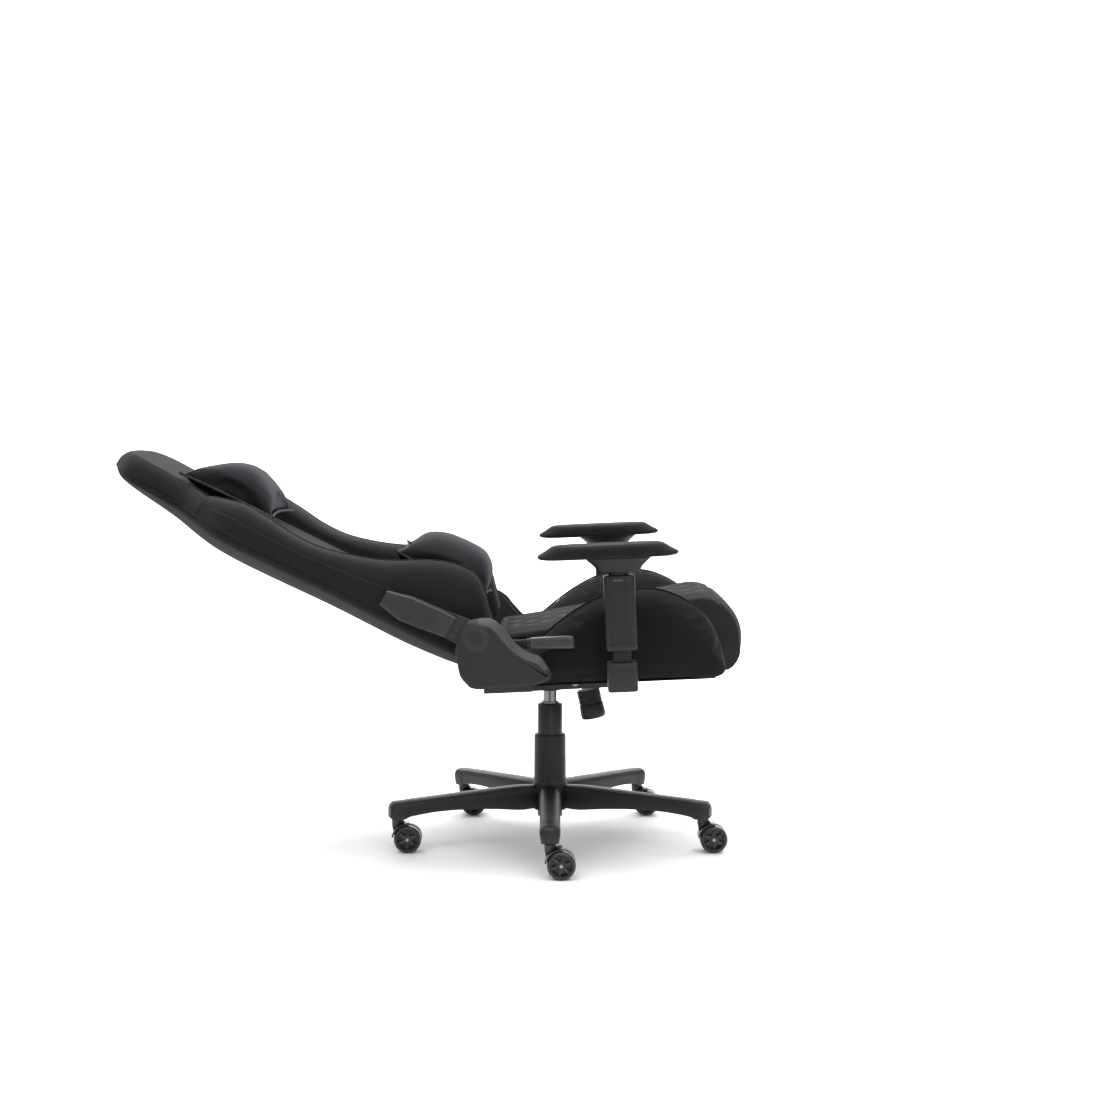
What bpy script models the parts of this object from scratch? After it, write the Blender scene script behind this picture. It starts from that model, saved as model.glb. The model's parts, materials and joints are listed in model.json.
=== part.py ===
"""Reclining gaming chair on a five-star base with twin-wheel casters.

Metres, +Z up, the chair faces +X. The sitter's right side is -Y.
Every piece is one closed solid. Moving pieces hang from empties that stand on their joint axes.
"""
import math

import bmesh
import bpy
from mathutils import Matrix, Vector

# ---------------------------------------------------------------- driving dimensions (metres, degrees)
GAP = 0.0003                # clearance between touching pieces
COLUMN_FORWARD = 0.239      # gas column axis ahead of the middle of the bounding box

WHEEL_RADIUS = 0.027
WHEEL_WIDTH = 0.018
WHEEL_SPACING = 0.0085      # clear space between the two wheels of a caster
AXLE_RADIUS = 0.003
STEM_RADIUS = 0.0055
STEM_LENGTH = 0.027         # part of the caster stem inside the arm
CASTER_TRAIL = 0.021        # axle behind the swivel axis
HOOD_THICKNESS = 0.003

STEM_CIRCLE = 0.317         # radius of the circle through the five stems
ARM_COUNT = 5
FIRST_ARM_ANGLE = -90.0
ARM_END_OVERHANG = 0.016    # arm past the stem axis
ARM_TIP_HEIGHT = 0.034
ARM_TIP_WIDTH = 0.040
ARM_ROOT_WIDTH = 0.044
HUB_WALL = 0.011
HUB_HEIGHT = 0.053
ARM_CLEARANCE = 0.012       # wheel top to the underside of the arm

COLUMN_RADIUS = 0.025
COLUMN_WALL = 0.0105
COLUMN_BELOW_HUB = 0.014
COLUMN_ABOVE_COVER = 0.062
COVER_WALL = 0.0068
COVER_HEIGHT = 0.0995
BUSH_RADIUS = 0.018
BUSH_HEIGHT = 0.0045
ROD_CLEARANCE = 0.0005
ROD_SHOWN = 0.030           # rod between the column and the mechanism
ROD_ENGAGED = 0.190         # rod inside the column

PIN_FORWARD = 0.050         # tilt pin ahead of the column axis
PIN_ABOVE_FLOOR_OF_HOUSING = 0.0195
PIN_RADIUS = 0.005
HOUSING_HALF_WIDTH = 0.045
HOUSING_WALL = 0.003
HOUSING_REAR = -0.045
HOUSING_FRONT = 0.120
HOUSING_RISE = 0.008        # underside climbs this much from rear to front

KNOB_FORWARD = 0.0765
KNOB_LEAN = 12.0
KNOB_RADIUS = 0.0250
KNOB_LENGTH = 0.059
KNOB_WALL = 0.004
KNOB_BOLT_RADIUS = 0.004
SPRING_WIRE = 0.002
SPRING_TURNS = 4

LEVER_ROD_RADIUS = 0.0045
LEVER_FORWARD = 0.020
LEVER_REACH = 0.235

SEAT_TILT = 2.5             # seat nose up at rest
PLATE_LENGTH = 0.230
PLATE_WIDTH = 0.200
PLATE_THICKNESS = 0.0035
PLATE_ABOVE_PIN = 0.0125
EAR_THICKNESS = 0.003

SEAT_HALF_WIDTH = 0.262
CENTRE_HALF_WIDTH = 0.158   # quilted middle of seat and back
SEAT_REAR = -0.172
CUSHION_REAR = -0.148       # the middle cushion stops ahead of the backrest's swinging foot
SEAT_FRONT = 0.2815         # front of the side bolsters
NOSE_FORWARD = 0.0455       # middle cushion ahead of the bolsters
PAN_THICKNESS = 0.0115
PAN_MARGIN = 0.012

PIVOT_X = -0.1813           # recline axis, in the seat frame whose origin is the tilt pin
PIVOT_Z = 0.1237
RECLINE = 58.5              # backrest tipped back from square to the seat at rest
BRACKET_THICKNESS = 0.004
BRACKET_STANDOFF = 0.0035   # seat side to the inner bracket
BACK_COVER_INNER = 0.010    # back bracket's cover beside the pivot
SIDE_COVER_THICKNESS = 0.017
COVER_SKIN = 0.003
BOLT_RADIUS = 0.006
BOLT_HEAD_RADIUS = 0.011

BACK_LENGTH = 0.783         # pivot to the top of the head section
FRAME_TUBE_RADIUS = 0.009
FRAME_HALF_WIDTH = 0.192
LUG_REAR = -0.0345          # frame lug that meets the recline bracket, from the pivot's line
LUG_FRONT = -0.0225
LUG_LOW = 0.108
LUG_HIGH = 0.160
WING_TOP = 0.735            # share of the back's length where the wings end
STRAP_LOW = 0.684           # shares of the back's length between which the head strap lies
STRAP_HIGH = 0.722
STRAP_REACH = 0.150
STRAP_THICKNESS = 0.0012
STRAP_CLEARANCE = 0.0010

ARM_STANDOFF = 0.0425       # seat side to the inner face of the armrest sleeve
ARM_FORWARD = 0.0866        # middle of the armrest post, in the seat frame
SLEEVE_LENGTH = 0.058
SLEEVE_WIDTH = 0.042
SLEEVE_HEIGHT = 0.138
POST_LENGTH = 0.034
POST_WIDTH = 0.024
POST_HEIGHT = 0.127
FOOT_HEIGHT = 0.0545
SLEEVE_LIFT = 0.0225        # sleeve above the foot block at rest
STRIP_THICKNESS = 0.006
STRIP_WIDTH = 0.040
PAD_LENGTH = 0.2586
PAD_WIDTH = 0.098
PAD_THICKNESS = 0.025
CRADLE_HEIGHT = 0.0325
BUTTON_WIDTH = 0.020
BUTTON_HEIGHT = 0.005

SIDES = (("right", -1), ("left", 1))

# ---------------------------------------------------------------- heights and places that follow
ARM_UNDERSIDE = 2 * WHEEL_RADIUS + ARM_CLEARANCE
HUB_TOP = ARM_UNDERSIDE + HUB_HEIGHT
COVER_TOP = HUB_TOP + COVER_HEIGHT
COLUMN_TOP = COVER_TOP + COLUMN_ABOVE_COVER
HOUSING_UNDERSIDE = COLUMN_TOP + ROD_SHOWN
PIN_Z = HOUSING_UNDERSIDE + PIN_ABOVE_FLOOR_OF_HOUSING
ROD_RADIUS = COLUMN_RADIUS - COLUMN_WALL - ROD_CLEARANCE

STRIP_BOTTOM = PLATE_ABOVE_PIN + PLATE_THICKNESS + GAP
PAN_BOTTOM = STRIP_BOTTOM + STRIP_THICKNESS + GAP
CUSHION_BOTTOM = PAN_BOTTOM + PAN_THICKNESS + GAP

SEAT_BRACKET_IN = SEAT_HALF_WIDTH + BRACKET_STANDOFF
SEAT_BRACKET_OUT = SEAT_BRACKET_IN + BRACKET_THICKNESS
BACK_BRACKET_IN = SEAT_BRACKET_OUT + 2 * GAP
BACK_BRACKET_OUT = BACK_BRACKET_IN + BRACKET_THICKNESS
BACK_COVER_IN = BACK_BRACKET_OUT + GAP
BACK_COVER_OUT = BACK_COVER_IN + BACK_COVER_INNER
SIDE_COVER_IN = BACK_COVER_OUT + 2 * GAP
SIDE_COVER_OUT = SIDE_COVER_IN + SIDE_COVER_THICKNESS

SLEEVE_IN = SEAT_HALF_WIDTH + ARM_STANDOFF
ARM_MIDDLE = SLEEVE_IN + SLEEVE_WIDTH / 2
FOOT_BOTTOM = PLATE_ABOVE_PIN + 0.006
SLEEVE_BOTTOM = FOOT_BOTTOM + FOOT_HEIGHT + SLEEVE_LIFT
SLEEVE_TOP = SLEEVE_BOTTOM + SLEEVE_HEIGHT
PAD_BOTTOM = SLEEVE_TOP + GAP + CRADLE_HEIGHT + GAP


# ---------------------------------------------------------------- mesh helpers
def mesh_from(bm):
    """Close the bmesh as a mesh with its faces pointing out."""
    bmesh.ops.recalc_face_normals(bm, faces=bm.faces)
    if bm.calc_volume(signed=True) < 0:
        bmesh.ops.reverse_faces(bm, faces=bm.faces)
    mesh = bpy.data.meshes.new("piece")
    bm.to_mesh(mesh)
    bm.free()
    return mesh


def loft(rings, ring_closes=False):
    """Skin a row of equal rings of points; the ends are capped unless the row closes on itself."""
    bm = bmesh.new()
    rows = [[bm.verts.new(point) for point in ring] for ring in rings]
    pairs = list(zip(rows, rows[1:]))
    if ring_closes:
        pairs.append((rows[-1], rows[0]))
    else:
        bm.faces.new(rows[0])
        bm.faces.new(rows[-1])
    for one, two in pairs:
        for i in range(len(one)):
            j = (i + 1) % len(one)
            bm.faces.new((one[i], one[j], two[j], two[i]))
    return mesh_from(bm)


def prism(outline, low, high, axis="Y"):
    """Extrude an outline: (x, z) points along Y, (x, y) points along Z or (y, z) points along X."""
    place = {
        "X": lambda a, b, t: (t, a, b),
        "Y": lambda a, b, t: (a, t, b),
        "Z": lambda a, b, t: (a, b, t),
    }[axis]
    return loft([[place(a, b, t) for a, b in outline] for t in (low, high)])


def block(low, high):
    """Box between two corners."""
    (x0, y0, z0), (x1, y1, z1) = low, high
    return prism([(x0, y0), (x1, y0), (x1, y1), (x0, y1)], z0, z1, "Z")


def turned(profile, sides=24, axis="Z", phase=0.0):
    """Turn (radius, height) points about an axis; points at radius 0 become poles."""
    bm = bmesh.new()
    columns = []
    for radius, height in profile:
        if radius == 0:
            columns.append([bm.verts.new((0, 0, height))] * sides)
            continue
        ring = []
        for i in range(sides):
            angle = 2 * math.pi * (i + phase) / sides
            ring.append(bm.verts.new((radius * math.cos(angle), radius * math.sin(angle), height)))
        columns.append(ring)
    closed = profile[0][0] != 0
    pairs = list(zip(columns, columns[1:]))
    if closed:
        pairs.append((columns[-1], columns[0]))
    for one, two in pairs:
        for i in range(sides):
            j = (i + 1) % sides
            corners = []
            for vert in (one[i], one[j], two[j], two[i]):
                if vert not in corners:
                    corners.append(vert)
            if len(corners) > 2:
                bm.faces.new(corners)
    mesh = mesh_from(bm)
    if axis == "Y":
        mesh.transform(Matrix.Rotation(math.radians(-90), 4, "X"))
    if axis == "X":
        mesh.transform(Matrix.Rotation(math.radians(90), 4, "Y"))
    return mesh


def disc(radius, low, high, sides=24, axis="Z", phase=0.0):
    """Plain cylinder between two heights on its axis."""
    return turned([(0, low), (radius, low), (radius, high), (0, high)], sides, axis, phase)


def tube(outer, inner, low, high, sides=24, axis="Z", phase=0.0):
    """Plain tube between two heights on its axis."""
    return turned([(outer, low), (outer, high), (inner, high), (inner, low)], sides, axis, phase)


def moved(mesh, offset=(0, 0, 0), turn=0.0, about="Z"):
    """Turn a mesh by an angle in degrees about an axis through the origin, then shift it."""
    mesh.transform(Matrix.Translation(offset) @ Matrix.Rotation(math.radians(turn), 4, about))
    return mesh


def chamfered(mesh, width, least_angle=30.0, segments=1):
    """Bevel the mesh's sharp edges."""
    bm = bmesh.new()
    bm.from_mesh(mesh)
    edges = [e for e in bm.edges if e.calc_face_angle(0) > math.radians(least_angle)]
    bmesh.ops.bevel(bm, geom=edges, offset=width, segments=segments, affect="EDGES", profile=0.5)
    return mesh_from(bm)


def combined(base, others, operation):
    """Join other meshes to the base, or cut them from it, with exact Booleans."""
    scene = bpy.context.scene.collection
    target = bpy.data.objects.new("target", base)
    scene.objects.link(target)
    helpers = []
    for other in others:
        helper = bpy.data.objects.new("helper", other)
        scene.objects.link(helper)
        helpers.append(helper)
        modifier = target.modifiers.new("boolean", "BOOLEAN")
        modifier.operation = operation
        modifier.solver = "EXACT"
        modifier.object = helper
    bpy.context.view_layer.update()
    evaluated = target.evaluated_get(bpy.context.evaluated_depsgraph_get())
    result = bpy.data.meshes.new_from_object(evaluated)
    for item in [target] + helpers:
        bpy.data.objects.remove(item)
    bm = bmesh.new()
    bm.from_mesh(result)
    bmesh.ops.remove_doubles(bm, verts=bm.verts, dist=0.00003)
    return mesh_from(bm)


def joined(base, *others):
    return combined(base, others, "UNION")


def cut(base, *others):
    return combined(base, others, "DIFFERENCE")


def smooth_value(points, t):
    """Read a smooth curve through (place, value) points."""
    last = len(points) - 1
    if t <= points[0][0]:
        return points[0][1]
    if t >= points[last][0]:
        return points[last][1]
    i = max(k for k in range(last) if points[k][0] <= t)

    def slope(k):
        low, high = max(k - 1, 0), min(k + 1, last)
        return (points[high][1] - points[low][1]) / (points[high][0] - points[low][0])

    span = points[i + 1][0] - points[i][0]
    s = (t - points[i][0]) / span
    return (
        points[i][1] * (2 * s**3 - 3 * s**2 + 1)
        + points[i + 1][1] * (3 * s**2 - 2 * s**3)
        + span * (slope(i) * (s**3 - 2 * s**2 + s) + slope(i + 1) * (s**3 - s**2))
    )


def arc(centre, radius, start, end, steps):
    """Points on an arc, angles in degrees."""
    points = []
    for i in range(steps + 1):
        angle = math.radians(start + (end - start) * i / steps)
        points.append((centre[0] + radius * math.cos(angle), centre[1] + radius * math.sin(angle)))
    return points


def inset(outline, distance):
    """Move each side of a closed outline inwards and meet the sides again."""
    count = len(outline)
    area = sum(
        outline[i][0] * outline[(i + 1) % count][1] - outline[(i + 1) % count][0] * outline[i][1]
        for i in range(count)
    )
    turn = 1 if area > 0 else -1
    result = []
    for i in range(count):
        before, here, after = (Vector(outline[(i + k) % count]) for k in (-1, 0, 1))
        one = (here - before).normalized()
        two = (after - here).normalized()
        normal = Vector((-one.y - two.y, one.x + two.x)).normalized() * turn
        lean = max(0.5, normal.dot(Vector((-one.y, one.x)) * turn))
        result.append(tuple(here + normal * distance / lean))
    return result


def superellipse(middle, half_x, half_y, height, power=3.0, sides=24):
    """Ring of points between an ellipse and a rectangle, at one height."""
    ring = []
    for i in range(sides):
        angle = 2 * math.pi * (i + 0.5) / sides
        c, s = math.cos(angle), math.sin(angle)
        reach = (abs(c) ** power + abs(s) ** power) ** (-1 / power)
        ring.append((middle[0] + half_x * reach * c, middle[1] + half_y * reach * s, height))
    return ring


# ---------------------------------------------------------------- scene helpers
MATERIALS = {
    "black_nylon": ((0.032, 0.032, 0.033), 0.50, 0.0),
    "caster_plastic": ((0.020, 0.020, 0.021), 0.35, 0.0),
    "black_cover": ((0.055, 0.055, 0.057), 0.45, 0.0),
    "pad_polyurethane": ((0.042, 0.042, 0.043), 0.60, 0.0),
    "lever_grey": ((0.200, 0.198, 0.210), 0.40, 0.0),
    "black_steel": ((0.022, 0.022, 0.022), 0.40, 0.9),
    "chrome": ((0.600, 0.600, 0.610), 0.12, 1.0),
    "zinc_steel": ((0.350, 0.350, 0.360), 0.35, 1.0),
    "plain_fabric": ((0.013, 0.013, 0.014), 0.90, 0.0),
    "quilted_fabric": ((0.030, 0.029, 0.032), 0.92, 0.0),
    "velour": ((0.024, 0.026, 0.030), 0.95, 0.0),
    "webbing": ((0.120, 0.120, 0.125), 0.85, 0.0),
}


def material(name):
    """Make a Principled material once and hand it out again afterwards."""
    found = bpy.data.materials.get(name)
    if found:
        return found
    colour, roughness, metallic = MATERIALS[name]
    made = bpy.data.materials.new(name)
    made.use_nodes = True
    shader = made.node_tree.nodes["Principled BSDF"]
    shader.inputs["Base Color"].default_value = (*colour, 1)
    shader.inputs["Roughness"].default_value = roughness
    shader.inputs["Metallic"].default_value = metallic
    return made


def empty(name, parent=None, location=(0, 0, 0), lean=0.0):
    """Empty on a joint axis, turned about Y by an angle in degrees."""
    made = bpy.data.objects.new(name, None)
    bpy.context.scene.collection.objects.link(made)
    made.parent = parent
    made.location = location
    made.rotation_euler = (0, math.radians(lean), 0)
    return made


def node(name, mesh, finish, parent, location=(0, 0, 0)):
    """Named sub-part: its mesh, its own copy of the finish and its parent."""
    mesh.name = name
    made = bpy.data.objects.new(name, mesh)
    bpy.context.scene.collection.objects.link(made)
    made.parent = parent
    made.location = location
    if not mesh.materials:
        mesh.materials.append(material(finish).copy())
    mesh.shade_smooth()
    mesh.set_sharp_from_angle(angle=math.radians(35))
    return made


# ---------------------------------------------------------------- five-star base
def arm_mesh():
    """One arm along +X: deep at the hub, level with the caster stem at the tip."""
    root = COLUMN_RADIUS + HUB_WALL / 2
    tip = STEM_CIRCLE + ARM_END_OVERHANG
    underside = ARM_UNDERSIDE
    tip_top = underside + ARM_TIP_HEIGHT
    stations = (
        (root, underside + 0.006, HUB_TOP - 0.003, ARM_ROOT_WIDTH * 0.86),
        (root + 0.035, underside + 0.004, HUB_TOP - 0.002, ARM_ROOT_WIDTH),
        (root + 0.45 * (tip - root), underside + 0.012, HUB_TOP - 0.008, ARM_ROOT_WIDTH * 0.92),
        (STEM_CIRCLE - 0.032, underside + 0.011, tip_top + 0.002, ARM_TIP_WIDTH * 0.95),
        (STEM_CIRCLE - 0.020, underside, tip_top + 0.001, ARM_TIP_WIDTH),
        (STEM_CIRCLE + 0.006, underside, tip_top, ARM_TIP_WIDTH * 0.95),
        (tip, underside + 0.003, tip_top - 0.008, ARM_TIP_WIDTH * 0.60),
    )
    rings = []
    for x, low, high, width in stations:
        half = width / 2
        shoulder = high - 0.35 * (high - low)
        rings.append(
            [
                (x, -half * 0.80, low),
                (x, half * 0.80, low),
                (x, half, shoulder),
                (x, half * 0.62, high - 0.002),
                (x, half * 0.30, high),
                (x, -half * 0.30, high),
                (x, -half * 0.62, high - 0.002),
                (x, -half, shoulder),
            ]
        )
    return loft(rings)


def arm_angle(index):
    return FIRST_ARM_ANGLE + 360.0 / ARM_COUNT * index


def stem_place(index):
    angle = math.radians(arm_angle(index))
    return STEM_CIRCLE * math.cos(angle), STEM_CIRCLE * math.sin(angle)


def build_base(parent):
    hub_radius = COLUMN_RADIUS + HUB_WALL
    hub = turned(
        [
            (0, ARM_UNDERSIDE),
            (hub_radius - 0.002, ARM_UNDERSIDE),
            (hub_radius, ARM_UNDERSIDE + 0.003),
            (hub_radius, HUB_TOP - 0.006),
            (hub_radius - 0.002, HUB_TOP),
            (0, HUB_TOP),
        ],
        30,
    )
    arms = [moved(arm_mesh(), turn=arm_angle(i)) for i in range(ARM_COUNT)]
    bores = [disc(COLUMN_RADIUS + GAP, ARM_UNDERSIDE - 0.01, HUB_TOP + 0.01, 24)]
    for i in range(ARM_COUNT):
        x, y = stem_place(i)
        hole = disc(STEM_RADIUS + GAP, ARM_UNDERSIDE - 0.01, ARM_UNDERSIDE + STEM_LENGTH + GAP, 12)
        bores.append(moved(hole, (x, y, 0)))
    node("star_base", cut(joined(hub, *arms), *bores), "black_nylon", parent)

    bore = COLUMN_RADIUS - COLUMN_WALL
    column = turned(
        [
            (COLUMN_RADIUS - 0.001, ARM_UNDERSIDE - COLUMN_BELOW_HUB),
            (COLUMN_RADIUS, ARM_UNDERSIDE - COLUMN_BELOW_HUB + 0.001),
            (COLUMN_RADIUS, COLUMN_TOP - 0.001),
            (COLUMN_RADIUS - 0.001, COLUMN_TOP),
            (BUSH_RADIUS, COLUMN_TOP),
            (BUSH_RADIUS, COLUMN_TOP + BUSH_HEIGHT),
            (bore, COLUMN_TOP + BUSH_HEIGHT),
            (bore, ARM_UNDERSIDE - COLUMN_BELOW_HUB),
        ],
        24,
    )
    node("gas_column", column, "black_steel", parent)

    inner = COLUMN_RADIUS + GAP
    outer = inner + COVER_WALL
    cover = turned(
        [
            (outer + 0.0015, HUB_TOP + GAP),
            (outer + 0.0015, HUB_TOP + 0.006),
            (outer, HUB_TOP + 0.012),
            (outer, COVER_TOP - 0.002),
            (outer - 0.002, COVER_TOP),
            (inner, COVER_TOP),
            (inner, HUB_TOP + GAP),
        ],
        24,
    )
    node("column_cover", cover, "black_nylon", parent)


# ---------------------------------------------------------------- casters
def caster_body_mesh():
    """Swivel body at the stem axis: web, hood, axle and stem in one moulding."""
    half_gap = WHEEL_SPACING / 2 - 0.0006
    axle = (CASTER_TRAIL, WHEEL_RADIUS)
    top = ARM_UNDERSIDE - 0.001
    hood_in = WHEEL_RADIUS + 0.0015
    hood_out = hood_in + HOOD_THICKNESS
    web = prism(
        [
            (-0.010, top),
            (0.011, top),
            (0.014, top - 0.006),
            *arc(axle, 0.0105, 60, -60, 4),
            (axle[0] - 0.010, axle[1] - 0.006),
            (-0.007, WHEEL_RADIUS + 0.006),
            (-0.010, top - 0.012),
        ],
        -half_gap,
        half_gap,
    )
    outline = arc(axle, hood_out, 86, 170, 8) + arc(axle, hood_in, 170, 86, 8)
    reach = WHEEL_SPACING / 2 + WHEEL_WIDTH * 0.92
    hood = prism(outline, -reach, reach)
    pin_reach = WHEEL_SPACING / 2 + WHEEL_WIDTH + 0.0004
    pin = moved(disc(AXLE_RADIUS, -pin_reach, pin_reach, 10, "Y"), (axle[0], 0, axle[1]))
    collar = disc(0.0105, top - 0.012, top, 16)
    stem = disc(STEM_RADIUS, top - 0.010, ARM_UNDERSIDE + STEM_LENGTH, 12)
    return joined(web, hood, pin, collar, stem)


def wheel_mesh():
    """Wheel about its axle along +Y, recessed on its outer face; a flat side is lowest."""
    sides = 16
    rim = WHEEL_RADIUS / math.cos(math.pi / sides)
    bore = AXLE_RADIUS + GAP
    profile = [
        (bore, 0),
        (rim, 0),
        (rim, WHEEL_WIDTH - 0.003),
        (rim - 0.003, WHEEL_WIDTH),
        (rim * 0.80, WHEEL_WIDTH),
        (rim * 0.74, WHEEL_WIDTH - 0.004),
        (rim * 0.28, WHEEL_WIDTH - 0.001),
        (bore, WHEEL_WIDTH - 0.001),
    ]
    return turned(profile, sides, "Y", 0.5)


def build_casters(parent):
    body = caster_body_mesh()
    outer_wheel = wheel_mesh()
    inner_wheel = wheel_mesh()
    inner_wheel.transform(Matrix.Scale(-1, 4, (0, 1, 0)))
    inner_wheel.flip_normals()
    for i in range(ARM_COUNT):
        x, y = stem_place(i)
        swivel = empty(f"caster_{i + 1}_swivel", parent, (x, y, 0))
        axle = empty(f"caster_{i + 1}_axle", swivel, (CASTER_TRAIL, 0, WHEEL_RADIUS))
        node(f"caster_{i + 1}_body", body, "caster_plastic", swivel)
        shift = WHEEL_SPACING / 2
        node(f"caster_{i + 1}_wheel_a", inner_wheel, "caster_plastic", axle, (0, -shift, 0))
        node(f"caster_{i + 1}_wheel_b", outer_wheel, "caster_plastic", axle, (0, shift, 0))


# ---------------------------------------------------------------- gas rod and tilt mechanism
def housing_underside(x):
    """Height of the housing's underside, which climbs towards the front."""
    share = (x - HOUSING_REAR) / (HOUSING_FRONT - HOUSING_REAR)
    return HOUSING_UNDERSIDE + HOUSING_RISE * share


def housing_mesh():
    low = HOUSING_UNDERSIDE
    outline = [
        (HOUSING_REAR, low),
        (HOUSING_FRONT - 0.006, low + HOUSING_RISE),
        (HOUSING_FRONT, low + HOUSING_RISE + 0.004),
        (HOUSING_FRONT, PIN_Z + 0.003),
        (PIN_FORWARD + 0.015, PIN_Z + 0.0075),
        (PIN_FORWARD - 0.012, PIN_Z + 0.0075),
        (PIN_FORWARD - 0.030, PIN_Z + 0.0030),
        (HOUSING_REAR, PIN_Z - 0.0100),
    ]
    shell = prism(outline, -HOUSING_HALF_WIDTH, HOUSING_HALF_WIDTH)
    lift = HOUSING_WALL
    pocket_outline = [
        (HOUSING_REAR + lift, low + lift),
        (HOUSING_FRONT - 0.006 - lift, low + HOUSING_RISE + lift),
        (HOUSING_FRONT - lift, low + HOUSING_RISE + 0.004 + lift),
        (HOUSING_FRONT - lift, PIN_Z + 0.03),
        (HOUSING_REAR + lift, PIN_Z + 0.03),
    ]
    half = HOUSING_HALF_WIDTH - HOUSING_WALL
    shell = cut(shell, prism(pocket_outline, -half, half))
    socket_top = PIN_Z - 0.0080
    shell = joined(shell, disc(ROD_RADIUS + 0.006, low - 0.003, socket_top, 20))
    rod_hole = disc(ROD_RADIUS + GAP, low - 0.02, PIN_Z + 0.02, 24, phase=0.3)
    pin_hole = disc(PIN_RADIUS + GAP, -0.08, 0.08, 14, "Y")
    bolt_hole = disc(KNOB_BOLT_RADIUS + 0.0006, -0.01, 0.02, 12)
    lever_hole = disc(LEVER_ROD_RADIUS + 0.002, 0.03, 0.06, 12, "Y")
    return cut(
        shell,
        rod_hole,
        moved(pin_hole, (PIN_FORWARD, 0, PIN_Z)),
        moved(bolt_hole, (KNOB_FORWARD, 0, knob_top()), -KNOB_LEAN, "Y"),
        moved(lever_hole, (LEVER_FORWARD, 0, lever_height())),
    )


def knob_top():
    """Top of the knob: its higher front edge stays clear of the housing."""
    lean = math.radians(KNOB_LEAN)
    front = KNOB_FORWARD + KNOB_RADIUS * math.cos(lean)
    lowest = min(housing_underside(KNOB_FORWARD), housing_underside(front))
    return lowest - KNOB_RADIUS * math.sin(lean) - 0.0022


def lever_height():
    return PIN_Z - 0.0065


def spring_mesh():
    """Coil spring round the tension bolt, along -Z from the housing."""
    radius = (KNOB_RADIUS - KNOB_WALL + KNOB_BOLT_RADIUS) / 2
    steps = 10
    pitch = (KNOB_LENGTH - 0.022) / SPRING_TURNS
    rings = []
    for i in range(SPRING_TURNS * steps + 1):
        angle = 2 * math.pi * i / steps
        out = Vector((math.cos(angle), math.sin(angle), 0))
        middle = out * radius + Vector((0, 0, -0.003 - pitch * i / steps))
        ring = []
        for k in range(5):
            wire = 2 * math.pi * k / 5
            offset = out * math.cos(wire) + Vector((0, 0, math.sin(wire)))
            ring.append(middle + offset * SPRING_WIRE)
        rings.append(ring)
    return loft(rings)


def knob_mesh():
    """Cup-shaped hand knob with the tension bolt standing in it; top of the cup at the origin."""
    floor = -KNOB_LENGTH + 0.012
    grip = -KNOB_LENGTH * 0.48
    bolt_top = PIN_Z - knob_top() - 0.002
    return turned(
        [
            (0, -KNOB_LENGTH),
            (KNOB_RADIUS - 0.004, -KNOB_LENGTH),
            (KNOB_RADIUS - 0.0005, -KNOB_LENGTH + 0.004),
            (KNOB_RADIUS, grip - 0.0015),
            (KNOB_RADIUS - 0.0015, grip),
            (KNOB_RADIUS - 0.001, 0),
            (KNOB_RADIUS - KNOB_WALL, 0),
            (KNOB_RADIUS - KNOB_WALL, floor),
            (KNOB_BOLT_RADIUS, floor),
            (KNOB_BOLT_RADIUS, bolt_top),
            (0, bolt_top),
        ],
        24,
    )


def height_lever_mesh():
    """Straight rod with a flat paddle, along +Y from inside the housing; pivot at the housing wall."""
    inner = HOUSING_HALF_WIDTH - 0.016
    rod = disc(LEVER_ROD_RADIUS, inner, LEVER_REACH - 0.050, 12, "Y")
    paddle_rings = []
    for y, half_x, half_z in (
        (LEVER_REACH - 0.062, 0.0075, 0.0065),
        (LEVER_REACH - 0.050, 0.0100, 0.0070),
        (LEVER_REACH - 0.010, 0.0170, 0.0050),
        (LEVER_REACH, 0.0140, 0.0035),
    ):
        ring = superellipse((0, 0), half_x, half_z, 0, 3.0, 14)
        paddle_rings.append([(x, y, z) for x, z, _ in ring])
    return joined(rod, loft(paddle_rings))


def build_mechanism(parent):
    rod_low = COLUMN_TOP - ROD_ENGAGED
    rod_top = PIN_Z - 0.0015
    rod = disc(ROD_RADIUS, rod_low, rod_top, 24)
    node("gas_rod", rod, "chrome", parent)
    mechanism = empty("swivel_axis", parent)
    node("mechanism_housing", housing_mesh(), "black_steel", mechanism)
    ear_out = HOUSING_HALF_WIDTH + 2 * GAP + EAR_THICKNESS
    head = PIN_RADIUS + 0.003
    reach = ear_out + 0.0035
    pin = turned(
        [
            (0, -reach),
            (head, -reach),
            (head, -ear_out - GAP),
            (PIN_RADIUS, -ear_out - GAP),
            (PIN_RADIUS, ear_out + GAP),
            (head, ear_out + GAP),
            (head, reach),
            (0, reach),
        ],
        14,
        "Y",
    )
    node("tilt_pin", pin, "zinc_steel", mechanism, (PIN_FORWARD, 0, PIN_Z))
    knob_axis = empty("knob_axis", mechanism, (KNOB_FORWARD, 0, knob_top()), -KNOB_LEAN)
    node("tilt_spring", spring_mesh(), "zinc_steel", knob_axis)
    node("tension_knob", knob_mesh(), "black_nylon", knob_axis)
    lever_axis = empty("height_lever_axis", mechanism, (LEVER_FORWARD, 0, lever_height()))
    node("height_lever", height_lever_mesh(), "black_nylon", lever_axis)


# ---------------------------------------------------------------- seat
def seat_x(share):
    """Place along the seat, 0 at the rear of the bolsters and 1 at their front."""
    return SEAT_REAR + (SEAT_FRONT - SEAT_REAR) * share


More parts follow.
